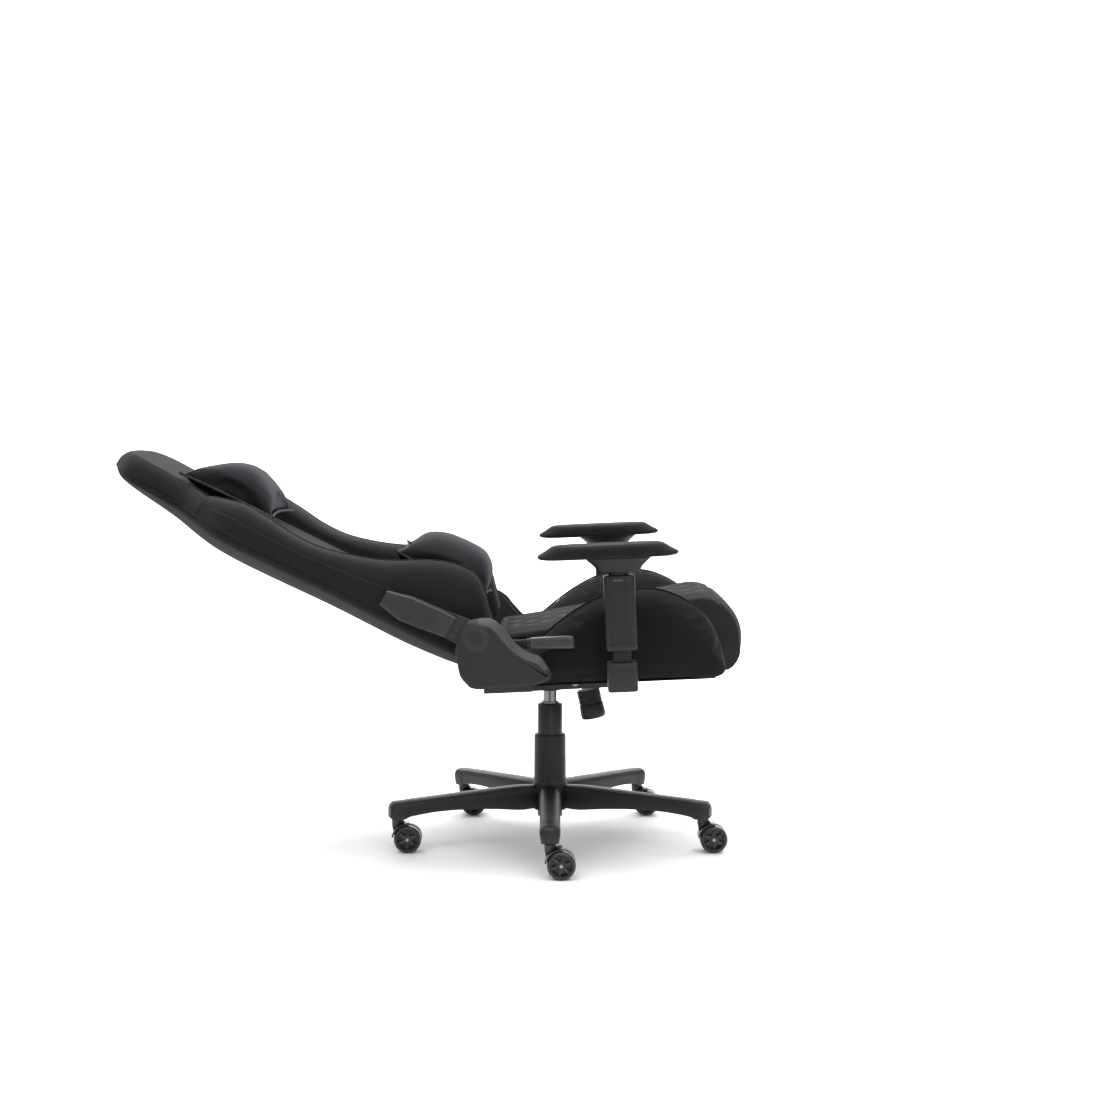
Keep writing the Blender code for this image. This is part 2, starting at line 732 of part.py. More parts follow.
# Heights above the tilt pin along the seat: ridge of the bolsters and top of the middle cushion.
BOLSTER_RIDGE = (
    (0.00, 0.0820), (0.14, 0.0880), (0.24, 0.1146), (0.325, 0.1432), (0.41, 0.1679), (0.50, 0.1870),
    (0.58, 0.1966), (0.66, 0.1997), (0.75, 0.1953), (0.83, 0.1804), (0.91, 0.1543), (0.957, 0.1251),
    (0.987, 0.0866), (1.00, 0.0500),
)
CUSHION_TOP = (
    (-0.02, 0.1120), (0.10, 0.1190), (0.28, 0.1311), (0.50, 0.1477), (0.73, 0.1683), (0.84, 0.1791),
    (0.93, 0.1835),
)


def bolster_mesh(side):
    """Side bolster: a lofted hump whose inner wall stands on the middle cushion's edge."""
    rings = []
    inner = CENTRE_HALF_WIDTH + GAP
    for share in (0, 0.06, 0.14, 0.24, 0.325, 0.41, 0.50, 0.58, 0.66, 0.75, 0.83, 0.91, 0.957, 0.987, 1.0):
        ridge = smooth_value(BOLSTER_RIDGE, share)
        low = CUSHION_BOTTOM + (0.008 if share in (0, 1.0) else 0)
        rise = ridge - low
        draw = 0.010 if share in (0, 1.0) else 0.0
        points = (
            (inner, low),
            (inner, low + 0.62 * rise),
            (inner + 0.022, low + 0.90 * rise),
            (inner + 0.048, ridge),
            (SEAT_HALF_WIDTH - 0.030, ridge - 0.03 * rise),
            (SEAT_HALF_WIDTH - 0.010 - draw, low + 0.80 * rise),
            (SEAT_HALF_WIDTH - draw, low + 0.45 * rise),
            (SEAT_HALF_WIDTH - 0.004 - draw, low + 0.12 * rise),
            (SEAT_HALF_WIDTH - 0.014 - draw, low),
        )
        rings.append([(seat_x(share), side * y, z) for y, z in points])
    return loft(rings)


def cushion_mesh():
    """Middle cushion: crowned top and a round nose in front of the bolsters."""
    start = (CUSHION_REAR - SEAT_REAR) / (SEAT_FRONT - SEAT_REAR)
    shares = (start, 0.15, 0.28, 0.5, 0.73, 0.84, 0.93)
    top = [(seat_x(share), smooth_value(CUSHION_TOP, share)) for share in shares]
    front = SEAT_FRONT + NOSE_FORWARD
    last_z = top[-1][1]
    drop = last_z - CUSHION_BOTTOM
    nose = [
        (front - 0.044, last_z - 0.002),
        (front - 0.022, last_z - 0.022),
        (front - 0.010, last_z - 0.045),
        (front, last_z - 0.085),
        (front - 0.006, CUSHION_BOTTOM + 0.20 * drop),
        (front - 0.026, CUSHION_BOTTOM),
    ]
    rear = [(CUSHION_REAR + 0.003, CUSHION_BOTTOM)]
    half = CENTRE_HALF_WIDTH
    rings = []
    for y, pull in ((-half, 0.010), (-half + 0.02, 0.0), (0, 0.0), (half - 0.02, 0.0), (half, 0.010)):
        ring = []
        for x, z in top + nose + rear:
            low = z <= CUSHION_BOTTOM + 0.0001
            ring.append((x - (pull if x > SEAT_FRONT else 0), y, z if low else z - pull * 0.6))
        rings.append(ring)
    return loft(rings)


def build_seat(parent):
    half_x = PLATE_LENGTH / 2
    half_y = PLATE_WIDTH / 2
    plate = chamfered(
        block((-half_x, -half_y, PLATE_ABOVE_PIN), (half_x, half_y, PLATE_ABOVE_PIN + PLATE_THICKNESS)), 0.0008
    )
    ear_in = HOUSING_HALF_WIDTH + 2 * GAP
    ear_outline = [(-0.022, PLATE_ABOVE_PIN + 0.001), (-0.012, -0.004)]
    ear_outline += arc((0, 0), 0.0095, 215, 325, 5)
    ear_outline += [(0.012, -0.004), (0.022, PLATE_ABOVE_PIN + 0.001)]
    ears = [prism(ear_outline, *sorted((side * ear_in, side * (ear_in + EAR_THICKNESS)))) for _, side in SIDES]
    hole = disc(PIN_RADIUS + GAP, -0.08, 0.08, 14, "Y")
    node("seat_plate", cut(joined(plate, *ears), hole), "black_steel", parent)

    pan_rear = SEAT_REAR + PAN_MARGIN
    pan_front = SEAT_FRONT - PAN_MARGIN
    pan_half = SEAT_HALF_WIDTH - PAN_MARGIN
    pan = block((pan_rear, -pan_half, PAN_BOTTOM), (pan_front, pan_half, PAN_BOTTOM + PAN_THICKNESS))
    node("seat_pan", chamfered(pan, 0.003), "black_nylon", parent)
    node("seat_cushion", cushion_mesh(), "quilted_fabric", parent)
    for name, side in SIDES:
        node(f"seat_bolster_{name}", bolster_mesh(side), "plain_fabric", parent)


# ---------------------------------------------------------------- recline hinge
def side_cover_outline():
    """Outline of the seat-side hinge cover: round boss, swept front edge and flat foot."""
    px, pz = PIVOT_X, PIVOT_Z
    foot = PLATE_ABOVE_PIN + 0.0155
    return [
        (px - 0.015, pz + 0.0335),
        (px + 0.010, pz + 0.0380),
        (px + 0.0285, pz + 0.0355),
        (px + 0.045, pz + 0.0235),
        (px + 0.056, pz + 0.0075),
        (px + 0.074, pz - 0.0145),
        (px + 0.095, pz - 0.0300),
        (px + 0.118, pz - 0.0385),
        (px + 0.137, pz - 0.0700),
        (px + 0.134, pz - 0.0820),
        (px + 0.104, foot + 0.003),
        (px + 0.061, foot + 0.002),
        (px - 0.012, foot),
        (px - 0.034, pz - 0.0700),
        (px - 0.0385, pz - 0.0410),
        (px - 0.0410, pz - 0.0170),
        (px - 0.0290, pz + 0.0110),
    ]


def mirrored(low, high, side):
    return sorted((side * low, side * high))


def side_cover_mesh(side):
    outline = side_cover_outline()
    floor_line = PIVOT_Z - 0.050
    lower = [point for point in outline if point[1] <= floor_line]
    lower = inset([(PIVOT_X + 0.120, floor_line)] + lower + [(PIVOT_X - 0.037, floor_line)], 0.0006)
    shell = chamfered(prism(outline, *mirrored(SIDE_COVER_IN, SIDE_COVER_OUT, side)), 0.0040, 50.0)
    skirt = prism(lower, *mirrored(SEAT_BRACKET_OUT + 2 * GAP, SIDE_COVER_IN + 0.006, side))
    pocket_in = SEAT_BRACKET_OUT - 0.002
    pocket = prism(inset(outline, COVER_SKIN + 0.0025), *mirrored(pocket_in, SIDE_COVER_OUT - COVER_SKIN, side))
    return cut(joined(shell, skirt), pocket)


def seat_bracket_mesh(side):
    """Steel side plate under the cover, with a flange that bolts under the seat pan."""
    outline = inset(side_cover_outline(), 0.006)
    plate = prism(outline, *mirrored(SEAT_BRACKET_IN, SEAT_BRACKET_OUT, side))
    low = PLATE_ABOVE_PIN + 0.0035
    web = prism(
        [
            (PIVOT_X + 0.008, low),
            (PIVOT_X + 0.100, low),
            (PIVOT_X + 0.095, low + 0.030),
            (PIVOT_X + 0.008, low + 0.030),
        ],
        *mirrored(SEAT_BRACKET_IN, SEAT_BRACKET_OUT, side),
    )
    y_low, y_high = mirrored(SEAT_HALF_WIDTH - 0.060, SEAT_BRACKET_OUT - 0.001, side)
    flange = block((PIVOT_X + 0.0081, y_low, low + 0.0001), (PIVOT_X + 0.0999, y_high, low + 0.0055))
    hole = moved(disc(BOLT_RADIUS + GAP, -1, 1, 16, "Y"), (PIVOT_X, 0, PIVOT_Z))
    pieces = [hole]
    if side < 0:
        x, z = recline_lever_pivot()
        pieces.append(moved(disc(0.0043, -1, 1, 12, "Y"), (x, 0, z)))
    return cut(joined(plate, web, flange), *pieces)


def recline_lever_pivot():
    return PIVOT_X + 0.053, PIVOT_Z - 0.0160


def recline_lever_mesh():
    """Stub plate and grip on the sitter's right; origin on its pivot."""
    x, z = recline_lever_pivot()
    low, high = mirrored(SEAT_BRACKET_OUT + 0.0025, SEAT_BRACKET_OUT + 0.0065, -1)
    stub = prism(
        arc((0, 0), 0.008, 110, 290, 6) + [(0.020, -0.006), (0.055, -0.006), (0.055, 0.008), (0.020, 0.008)],
        low,
        high,
    )
    rings = []
    middle_y = (low + high) / 2
    for x_grip, middle_z, half_z, half_y in (
        (0.0450, 0.0005, 0.0085, 0.0055),
        (0.0500, 0.0000, 0.0105, 0.0070),
        (0.0900, 0.0000, 0.0115, 0.0075),
        (0.1220, -0.0005, 0.0120, 0.0070),
        (0.1280, -0.0020, 0.0095, 0.0045),
    ):
        ring = superellipse((middle_y, middle_z), half_y, half_z, 0, 3.5, 14)
        rings.append([(x_grip, y, zz) for y, zz, _ in ring])
    pin = disc(0.004, *mirrored(SEAT_BRACKET_IN - 0.0005, SEAT_BRACKET_OUT + 0.004, -1), 12, "Y")
    return joined(stub, loft(rings), pin)


def back_arm_outline(margin=0.0):
    """Outline of the backrest bracket in the backrest frame: (forward, up) from the pivot."""
    rounding = arc((0, 0), 0.0285 - margin, 190, 350, 8)
    arm = [
        (0.0150 - margin, 0.0860),
        (0.0095 - margin, 0.1416),
        (-0.0035 - margin, 0.1880 - margin),
        (-0.0325 + margin, 0.1850 - margin),
        (-0.0405 + margin, 0.1450),
        (-0.0290 + margin, 0.0680),
    ]
    return rounding + arm


def outer_arm_outline():
    """The thick outer part of the bracket cover starts outside the seat-side boss."""
    return [
        (0.0155, 0.0530),
        (0.0150, 0.0860),
        (0.0095, 0.1416),
        (-0.0035, 0.1880),
        (-0.0325, 0.1850),
        (-0.0405, 0.1450),
        (-0.0290, 0.0680),
        (-0.0285, 0.0530),
    ]


def build_hinge(seat, back):
    for name, side in SIDES:
        node(f"recline_bracket_{name}", seat_bracket_mesh(side), "black_steel", seat)
        node(f"recline_cover_{name}", side_cover_mesh(side), "black_cover", seat)

        hole = disc(BOLT_RADIUS + GAP, -1, 1, 16, "Y")
        bracket = prism(back_arm_outline(0.003), *mirrored(BACK_BRACKET_IN, BACK_BRACKET_OUT, side))
        node(f"back_bracket_{name}", cut(bracket, hole), "black_steel", back)

        thin = prism(back_arm_outline(), *mirrored(BACK_COVER_IN, BACK_COVER_OUT, side))
        thick_span = mirrored(BACK_COVER_IN + 0.002, SIDE_COVER_OUT - 0.004, side)
        thick = prism(inset(outer_arm_outline(), 0.0006), *thick_span)
        head_hole = disc(BOLT_HEAD_RADIUS + 0.0010, -1, 1, 16, "Y")
        cover = cut(joined(thin, chamfered(thick, 0.0035, 50.0)), head_hole)
        node(f"back_bracket_cover_{name}", cover, "black_cover", back)

        nut_in = SEAT_HALF_WIDTH + 0.0008
        head_out = BACK_BRACKET_OUT + GAP + 0.006
        bolt = turned(
            [
                (0, nut_in),
                (BOLT_HEAD_RADIUS - 0.001, nut_in),
                (BOLT_HEAD_RADIUS - 0.001, SEAT_BRACKET_IN - GAP),
                (BOLT_RADIUS, SEAT_BRACKET_IN - GAP),
                (BOLT_RADIUS, BACK_BRACKET_OUT + GAP),
                (BOLT_HEAD_RADIUS, BACK_BRACKET_OUT + GAP),
                (BOLT_HEAD_RADIUS, head_out),
                (0, head_out),
            ],
            12,
            "Y",
        )
        if side < 0:
            bolt.transform(Matrix.Scale(-1, 4, (0, 1, 0)))
            bolt.flip_normals()
        node(f"pivot_bolt_{name}", bolt, "zinc_steel", seat, (PIVOT_X, 0, PIVOT_Z))
    x, z = recline_lever_pivot()
    lever_axis = empty("recline_lever_axis", seat, (x, 0, z))
    node("recline_lever", recline_lever_mesh(), "lever_grey", lever_axis)


# ---------------------------------------------------------------- backrest
# Shares of the backrest's length above the pivot against distances forward of the pivot's line.
REAR_FACE = (
    (-0.04, -0.0840), (0.00, -0.0900), (0.06, -0.0969), (0.15, -0.1039), (0.24, -0.1061), (0.33, -0.1090),
    (0.42, -0.1135), (0.52, -0.1180), (0.61, -0.1210), (0.70, -0.1187), (0.80, -0.1090), (0.90, -0.0994),
    (0.96, -0.0920), (0.985, -0.0850), (1.00, -0.0760),
)
CENTRE_FACE = (
    (-0.04, 0.0080), (0.06, 0.0140), (0.18, 0.0120), (0.28, -0.0080), (0.38, -0.0280), (0.50, -0.0360),
    (0.62, -0.0340), (0.74, -0.0290), (0.83, -0.0250), (0.95, -0.0265), (0.985, -0.0340), (1.00, -0.0480),
)
WING_RIDGE = (
    (-0.04, 0.0280), (0.00, 0.0493), (0.03, 0.0734), (0.06, 0.0925), (0.09, 0.0990), (0.14, 0.0939),
    (0.19, 0.0782), (0.29, 0.0350), (0.41, 0.0034), (0.49, -0.0033), (0.58, 0.0020), (0.64, 0.0030),
    (0.69, -0.0080), (0.74, -0.0200),
)
HALF_WIDTH_CHANGE = (
    (-0.04, -0.0300), (0.02, -0.0080), (0.08, 0.0000), (0.25, -0.0020), (0.38, -0.0120), (0.50, 0.0000),
    (0.60, 0.0080), (0.67, -0.0050), (0.74, -0.0550), (0.79, -0.0950), (0.84, -0.1100), (0.93, -0.1180),
    (0.97, -0.1330), (0.99, -0.1560), (1.00, -0.1800),
)


def back_z(share):
    return BACK_LENGTH * share


def half_width(share):
    return SEAT_HALF_WIDTH + smooth_value(HALF_WIDTH_CHANGE, share)


def frame_plane(share):
    """Middle of the steel frame, which leans slightly back towards the head."""
    return -0.0280 - 0.0350 * share


FRONT_OF_FRAME = FRAME_TUBE_RADIUS + 0.0008


def rear_cover_section(share, squeeze=0.0):
    """(across, forward) outline of the rear cover; squeeze lifts its rear face at the ends."""
    half = half_width(share) - 0.004
    front = frame_plane(share) - FRONT_OF_FRAME
    rear = smooth_value(REAR_FACE, share)
    rear += (front - rear) * squeeze
    depth = front - rear
    return [
        (-half, front),
        (-half - 0.001, front - 0.40 * depth),
        (-half + 0.012, front - 0.82 * depth),
        (-half + 0.040, rear),
        (half - 0.040, rear),
        (half - 0.012, front - 0.82 * depth),
        (half + 0.001, front - 0.40 * depth),
        (half, front),
    ]


def rear_cover_mesh():
    rings = []
    for share in (-0.03, 0.03, 0.09, 0.2, 0.3, 0.4, 0.5, 0.6, 0.67, 0.74, 0.79, 0.84, 0.90, 0.95, 0.975,
                  0.985):
        squeeze = 0.30 if share in (-0.03, 0.985) else 0.0
        rings.append([(x, y, back_z(share)) for y, x in rear_cover_section(share, squeeze)])
    return loft(rings)


def centre_pad_section(share):
    """(across, forward) outline of the middle pad; above the wings it is as wide as the head."""
    open_head = share > WING_TOP + 0.002
    half = half_width(share) - 0.002 if open_head else CENTRE_HALF_WIDTH
    rear = frame_plane(share) + FRONT_OF_FRAME
    front = smooth_value(CENTRE_FACE, share)
    edge = 0.012 if open_head else 0.0
    side = front - 0.35 * (front - rear) - edge * 0.3
    return [
        (half, rear),
        (half, side),
        (half - 0.014, front - edge * 0.25),
        (0, front),
        (-half + 0.014, front - edge * 0.25),
        (-half, side),
        (-half, rear),
    ]


def centre_pad_mesh():
    """Quilted middle of the back, which widens into the head section above the wings."""
    rings = []
    quilted = (-0.03, 0.03, 0.1, 0.18, 0.28, 0.38, 0.5, 0.62, 0.70)
    head = (WING_TOP + 0.0015, WING_TOP + 0.003, 0.79, 0.84, 0.90, 0.95, 0.985, 1.0)
    for share in quilted + head:
        rings.append([(x, y, back_z(share)) for y, x in centre_pad_section(share)])
    return loft(rings)


def wing_mesh(side):
    """Side wing with a skirt outside the frame; the frame's lug passes through a slot in it."""
    rings = []
    inner = CENTRE_HALF_WIDTH + GAP
    skirt = FRAME_HALF_WIDTH + FRAME_TUBE_RADIUS + 0.0015
    stations = (-0.03, 0.0, 0.03, 0.06, 0.1, 0.14, 0.19, 0.24, 0.29, 0.35, 0.41, 0.49, 0.56, 0.62, 0.67, 0.71)
    for share in stations + (WING_TOP,):
        half = max(half_width(share), skirt + 0.006)
        ridge = smooth_value(WING_RIDGE, share)
        centre = smooth_value(CENTRE_FACE, share)
        plane = frame_plane(share)
        low = plane + FRONT_OF_FRAME
        skirt_low = plane - FRONT_OF_FRAME + GAP
        rise = max(ridge - low, 0.010)
        ridge = low + rise
        reach = half - inner
        points = (
            (inner, low),
            (inner, min(centre, low + 0.75 * rise)),
            (inner + 0.18 * reach, low + 0.90 * rise),
            (inner + 0.42 * reach, ridge),
            (inner + 0.72 * reach, ridge - 0.04 * rise),
            (inner + 0.92 * reach, low + 0.72 * rise),
            (half, low + 0.30 * rise),
            (half - 0.002, skirt_low),
            (skirt, skirt_low),
            (skirt, low),
        )
        rings.append([(x, side * y, back_z(share)) for y, x in points])
    y_low, y_high = mirrored(FRAME_HALF_WIDTH - 0.002, SEAT_HALF_WIDTH + 0.02, side)
    slot = block(
        (LUG_REAR - 0.001, y_low, LUG_LOW - 0.001),
        (LUG_FRONT + 0.001, y_high, LUG_HIGH + 0.001),
    )
    return cut(loft(rings), slot)


def frame_mesh():
    """Closed hoop of round tube with a lug on each side that meets the bracket."""
    half = FRAME_HALF_WIDTH
    top = back_z(0.945)
    neck = back_z(0.66)
    head = 0.098
    low = 0.022
    corner = 0.040
    side_path = arc((half - corner, low + corner), corner, 270, 360, 5)
    side_path += [(half, back_z(0.35)), (half, neck)]
    side_path += [(half - 0.035, neck + 0.040), (head + 0.012, neck + 0.080)]
    side_path += arc((head - corner, top - corner), corner, 0, 90, 5)
    path = side_path + [(-y, z) for y, z in reversed(side_path)]
    centres = [Vector((frame_plane(z / BACK_LENGTH), y, z)) for y, z in path]
    rings = []
    sides = 8
    for i, middle in enumerate(centres):
        along = (centres[(i + 1) % len(centres)] - centres[i - 1]).normalized()
        out = Vector((1, 0, 0))
        out = (out - along * out.dot(along)).normalized()
        across = along.cross(out)
        ring = []
        for k in range(sides):
            angle = 2 * math.pi * (k + 0.5) / sides
            ring.append(middle + FRAME_TUBE_RADIUS * (out * math.cos(angle) + across * math.sin(angle)))
        rings.append(ring)
    lugs = []
    for _, side in SIDES:
        y_low, y_high = mirrored(half, BACK_BRACKET_IN - GAP, side)
        lugs.append(block((LUG_REAR, y_low, LUG_LOW), (LUG_FRONT, y_high, LUG_HIGH)))
    return joined(loft(rings, True), *lugs)


def pillow_mesh(low, high, half_width_y, rear, front, tilt=0.0):
    """Simple pillow solid: lofted superellipses from end to end across the chair."""
    rings = []
    middle_z = (low + high) / 2
    middle_x = (rear + front) / 2
    for share in (-1.0, -0.93, -0.75, -0.45, 0.0, 0.45, 0.75, 0.93, 1.0):
        swell = 1 - 0.62 * abs(share) ** 3.0
        length = 1 - 0.10 * abs(share) ** 4
        half_x = (front - rear) / 2 * swell
        half_z = (high - low) / 2 * length
        x = rear + half_x
        ring = superellipse((0, 0), half_x, half_z, 0, 2.4, 16)
        rings.append([(x + px + tilt * pz, share * half_width_y, middle_z + pz) for px, pz, _ in ring])
    return loft(rings)


def strap_mesh():
    """Elastic band across the middle pad, from wing to wing behind the head pillow."""
    rings = []
    for share, distance in (
        (STRAP_LOW, STRAP_CLEARANCE),
        (STRAP_HIGH, STRAP_CLEARANCE),
        (STRAP_HIGH, STRAP_CLEARANCE + STRAP_THICKNESS),
        (STRAP_LOW, STRAP_CLEARANCE + STRAP_THICKNESS),
    ):
        x = smooth_value(CENTRE_FACE, share) + distance
        rings.append([(x, part * STRAP_REACH, back_z(share)) for part in (-1, -0.5, 0, 0.5, 1)])
    bm = bmesh.new()
    rows = [[bm.verts.new(point) for point in ring] for ring in rings]
    for one, two in zip(rows, rows[1:] + rows[:1]):
        for i in range(len(one) - 1):
            bm.faces.new((one[i], one[i + 1], two[i + 1], two[i]))
    bm.faces.new([row[0] for row in rows])
    bm.faces.new([row[-1] for row in rows])
    return mesh_from(bm)


def build_back(parent):
    node("back_frame", frame_mesh(), "black_steel", parent)
    node("back_rear_cover", rear_cover_mesh(), "plain_fabric", parent)
    node("back_pad", centre_pad_mesh(), "quilted_fabric", parent)
    for name, side in SIDES:
        node(f"back_wing_{name}", wing_mesh(side), "plain_fabric", parent)
    node("lumbar_pillow", pillow_mesh(0.012, 0.214, 0.152, 0.0200, 0.1235), "velour", parent)
    node("head_pillow", pillow_mesh(0.452, 0.650, 0.140, -0.0205, 0.0447), "velour", parent)
    node("head_strap", strap_mesh(), "webbing", parent)


# ---------------------------------------------------------------- armrests
def build_armrest(name, side, seat):
    middle = ARM_FORWARD
    y_middle = side * ARM_MIDDLE
    strip_low, strip_high = middle - STRIP_WIDTH / 2, middle + STRIP_WIDTH / 2
    leg_out = SLEEVE_IN - 0.003
    y_low, y_high = mirrored(PLATE_WIDTH / 2 + 0.004, leg_out, side)
    strip = block((strip_low, y_low, STRIP_BOTTOM), (strip_high, y_high, STRIP_BOTTOM + STRIP_THICKNESS))
    y_low, y_high = mirrored(leg_out - STRIP_THICKNESS, leg_out, side)
    leg_top = FOOT_BOTTOM + FOOT_HEIGHT - 0.008
    leg = block((strip_low + 0.0001, y_low, STRIP_BOTTOM + 0.0005), (strip_high - 0.0001, y_high, leg_top))
    node(f"arm_bracket_{name}", joined(strip, leg), "black_steel", seat)

    y_low, y_high = mirrored(leg_out + GAP, SLEEVE_IN + SLEEVE_WIDTH, side)
    foot = chamfered(
        block(
            (middle - SLEEVE_LENGTH / 2 + 0.001, y_low, FOOT_BOTTOM),
            (middle + SLEEVE_LENGTH / 2 - 0.003, y_high, FOOT_BOTTOM + FOOT_HEIGHT),
        ),
        0.004,
    )
    half_x, half_y = POST_LENGTH / 2, POST_WIDTH / 2
    post_base = FOOT_BOTTOM + FOOT_HEIGHT - 0.004
    post = block(
        (middle - half_x, y_middle - half_y, post_base),
        (middle + half_x, y_middle + half_y, FOOT_BOTTOM + FOOT_HEIGHT + POST_HEIGHT),
    )
    node(f"arm_inner_post_{name}", joined(foot, post), "black_nylon", seat)

    lift_axis = empty(f"arm_lift_{name}", seat, (middle, y_middle, 0))
    rings = [
        superellipse((0, 0), SLEEVE_LENGTH / 2, SLEEVE_WIDTH / 2, z, 5.0, 16)
        for z in (SLEEVE_BOTTOM, SLEEVE_TOP)
    ]
    sleeve = loft(rings)
    roof = 0.004
    hollow = block(
        (-half_x - GAP, -half_y - GAP, SLEEVE_BOTTOM - 0.01),
        (half_x + GAP, half_y + GAP, SLEEVE_TOP - roof),
    )
    button_z = SLEEVE_TOP - 0.008
    face = side * SLEEVE_WIDTH / 2
    y_low, y_high = sorted((face + side * 0.01, face - side * 0.0050))
    pocket = block(
        (-BUTTON_WIDTH / 2 - GAP - 0.003, y_low, button_z - BUTTON_HEIGHT / 2 - GAP),
        (BUTTON_WIDTH / 2 + GAP - 0.003, y_high, button_z + BUTTON_HEIGHT / 2 + GAP),
    )
    node(f"arm_sleeve_{name}", cut(sleeve, hollow, pocket), "black_nylon", lift_axis)
    y_low, y_high = sorted((face + side * 0.0015, face - side * 0.0025))
    button = block(
        (-BUTTON_WIDTH / 2 - 0.003, y_low, button_z - BUTTON_HEIGHT / 2),
        (BUTTON_WIDTH / 2 - 0.003, y_high, button_z + BUTTON_HEIGHT / 2),
    )
    node(f"arm_button_{name}", chamfered(button, 0.0006), "lever_grey", lift_axis)

    low = SLEEVE_TOP + GAP
    cradle_rings = []
    for height, half_long, half_wide, power in (
        (0.0, 0.0200, 0.0185, 2.0),
        (0.0065, 0.0200, 0.0185, 2.0),
        (0.0067, 0.0400, 0.0230, 3.0),
        (0.0160, 0.0440, 0.0270, 3.0),
        (CRADLE_HEIGHT - 0.0020, 0.0600, 0.0370, 3.5),
        (CRADLE_HEIGHT, 0.0590, 0.0360, 3.5),
    ):
        cradle_rings.append(superellipse((0, 0), half_long, half_wide, low + height, power, 16))
    node(f"arm_cradle_{name}", loft(cradle_rings), "black_nylon", lift_axis)

    pad_middle = -0.0187
    half_long = PAD_LENGTH / 2
    pad_rings = []
    for height, half_x, half_y, shift in (
        (0.0, half_long - 0.038, PAD_WIDTH / 2 - 0.008, 0.022),
        (0.0035, half_long - 0.030, PAD_WIDTH / 2 - 0.004, 0.016),
        (0.0125, half_long, PAD_WIDTH / 2, 0.0),
        (PAD_THICKNESS - 0.003, half_long - 0.018, PAD_WIDTH / 2 - 0.003, -0.001),
        (PAD_THICKNESS, half_long - 0.026, PAD_WIDTH / 2 - 0.008, -0.002),
    ):
        pad_rings.append(superellipse((pad_middle + shift, 0), half_x, half_y, PAD_BOTTOM + height, 4.0, 20))
    node(f"arm_pad_{name}", loft(pad_rings), "pad_polyurethane", lift_axis)


# ---------------------------------------------------------------- assembly
for leftover in list(bpy.data.objects):
    bpy.data.objects.remove(leftover)

chair = empty("chair_origin", None, (COLUMN_FORWARD, 0, 0))
build_base(chair)
build_casters(chair)
lift = empty("lift_axis", chair)
build_mechanism(lift)
seat_frame = empty("tilt_axis", lift, (PIN_FORWARD, 0, PIN_Z), -SEAT_TILT)
build_seat(seat_frame)
back_frame_axis = empty("recline_axis", seat_frame, (PIVOT_X, 0, PIVOT_Z), -RECLINE)
build_hinge(seat_frame, back_frame_axis)
build_back(back_frame_axis)
for side_name, side_sign in SIDES:
    build_armrest(side_name, side_sign, seat_frame)
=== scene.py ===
"""A reclining gaming chair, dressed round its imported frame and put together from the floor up."""

import json
import math

import bmesh
import bpy
import numpy as np
from mathutils import Matrix, Vector

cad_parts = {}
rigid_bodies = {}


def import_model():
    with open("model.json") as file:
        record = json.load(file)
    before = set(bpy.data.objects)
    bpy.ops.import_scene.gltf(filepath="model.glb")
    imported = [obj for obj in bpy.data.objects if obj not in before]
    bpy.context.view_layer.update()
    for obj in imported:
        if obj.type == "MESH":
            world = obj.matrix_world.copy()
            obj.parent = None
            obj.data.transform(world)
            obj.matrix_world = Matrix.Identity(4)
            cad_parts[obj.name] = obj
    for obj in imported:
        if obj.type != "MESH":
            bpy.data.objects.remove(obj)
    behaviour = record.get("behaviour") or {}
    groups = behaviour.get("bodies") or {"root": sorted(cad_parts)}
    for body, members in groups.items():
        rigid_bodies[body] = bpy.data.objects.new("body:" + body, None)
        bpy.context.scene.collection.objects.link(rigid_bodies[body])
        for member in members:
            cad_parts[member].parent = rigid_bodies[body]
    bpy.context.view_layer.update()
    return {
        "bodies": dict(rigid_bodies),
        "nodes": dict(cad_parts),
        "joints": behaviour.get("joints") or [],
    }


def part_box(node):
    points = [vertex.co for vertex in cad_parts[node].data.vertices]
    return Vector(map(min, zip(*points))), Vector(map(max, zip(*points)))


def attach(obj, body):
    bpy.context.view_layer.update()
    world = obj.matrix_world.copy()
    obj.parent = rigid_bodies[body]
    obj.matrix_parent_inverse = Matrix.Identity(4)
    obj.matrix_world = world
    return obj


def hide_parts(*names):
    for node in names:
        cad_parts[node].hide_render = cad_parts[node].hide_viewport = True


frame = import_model()

# ------------------------------------------------------------------------------------------------
# Star base. One piece of glass-filled nylon: a hub with five arms that thin out towards the
# caster sockets, open underneath with cross ribs. Moulded, so its edges are soft and its skin has
# a fine spark-eroded grain.
joint = {j["name"]: j for j in frame["joints"]}
column_x = joint["seat_swivel"]["pos_m"][0]


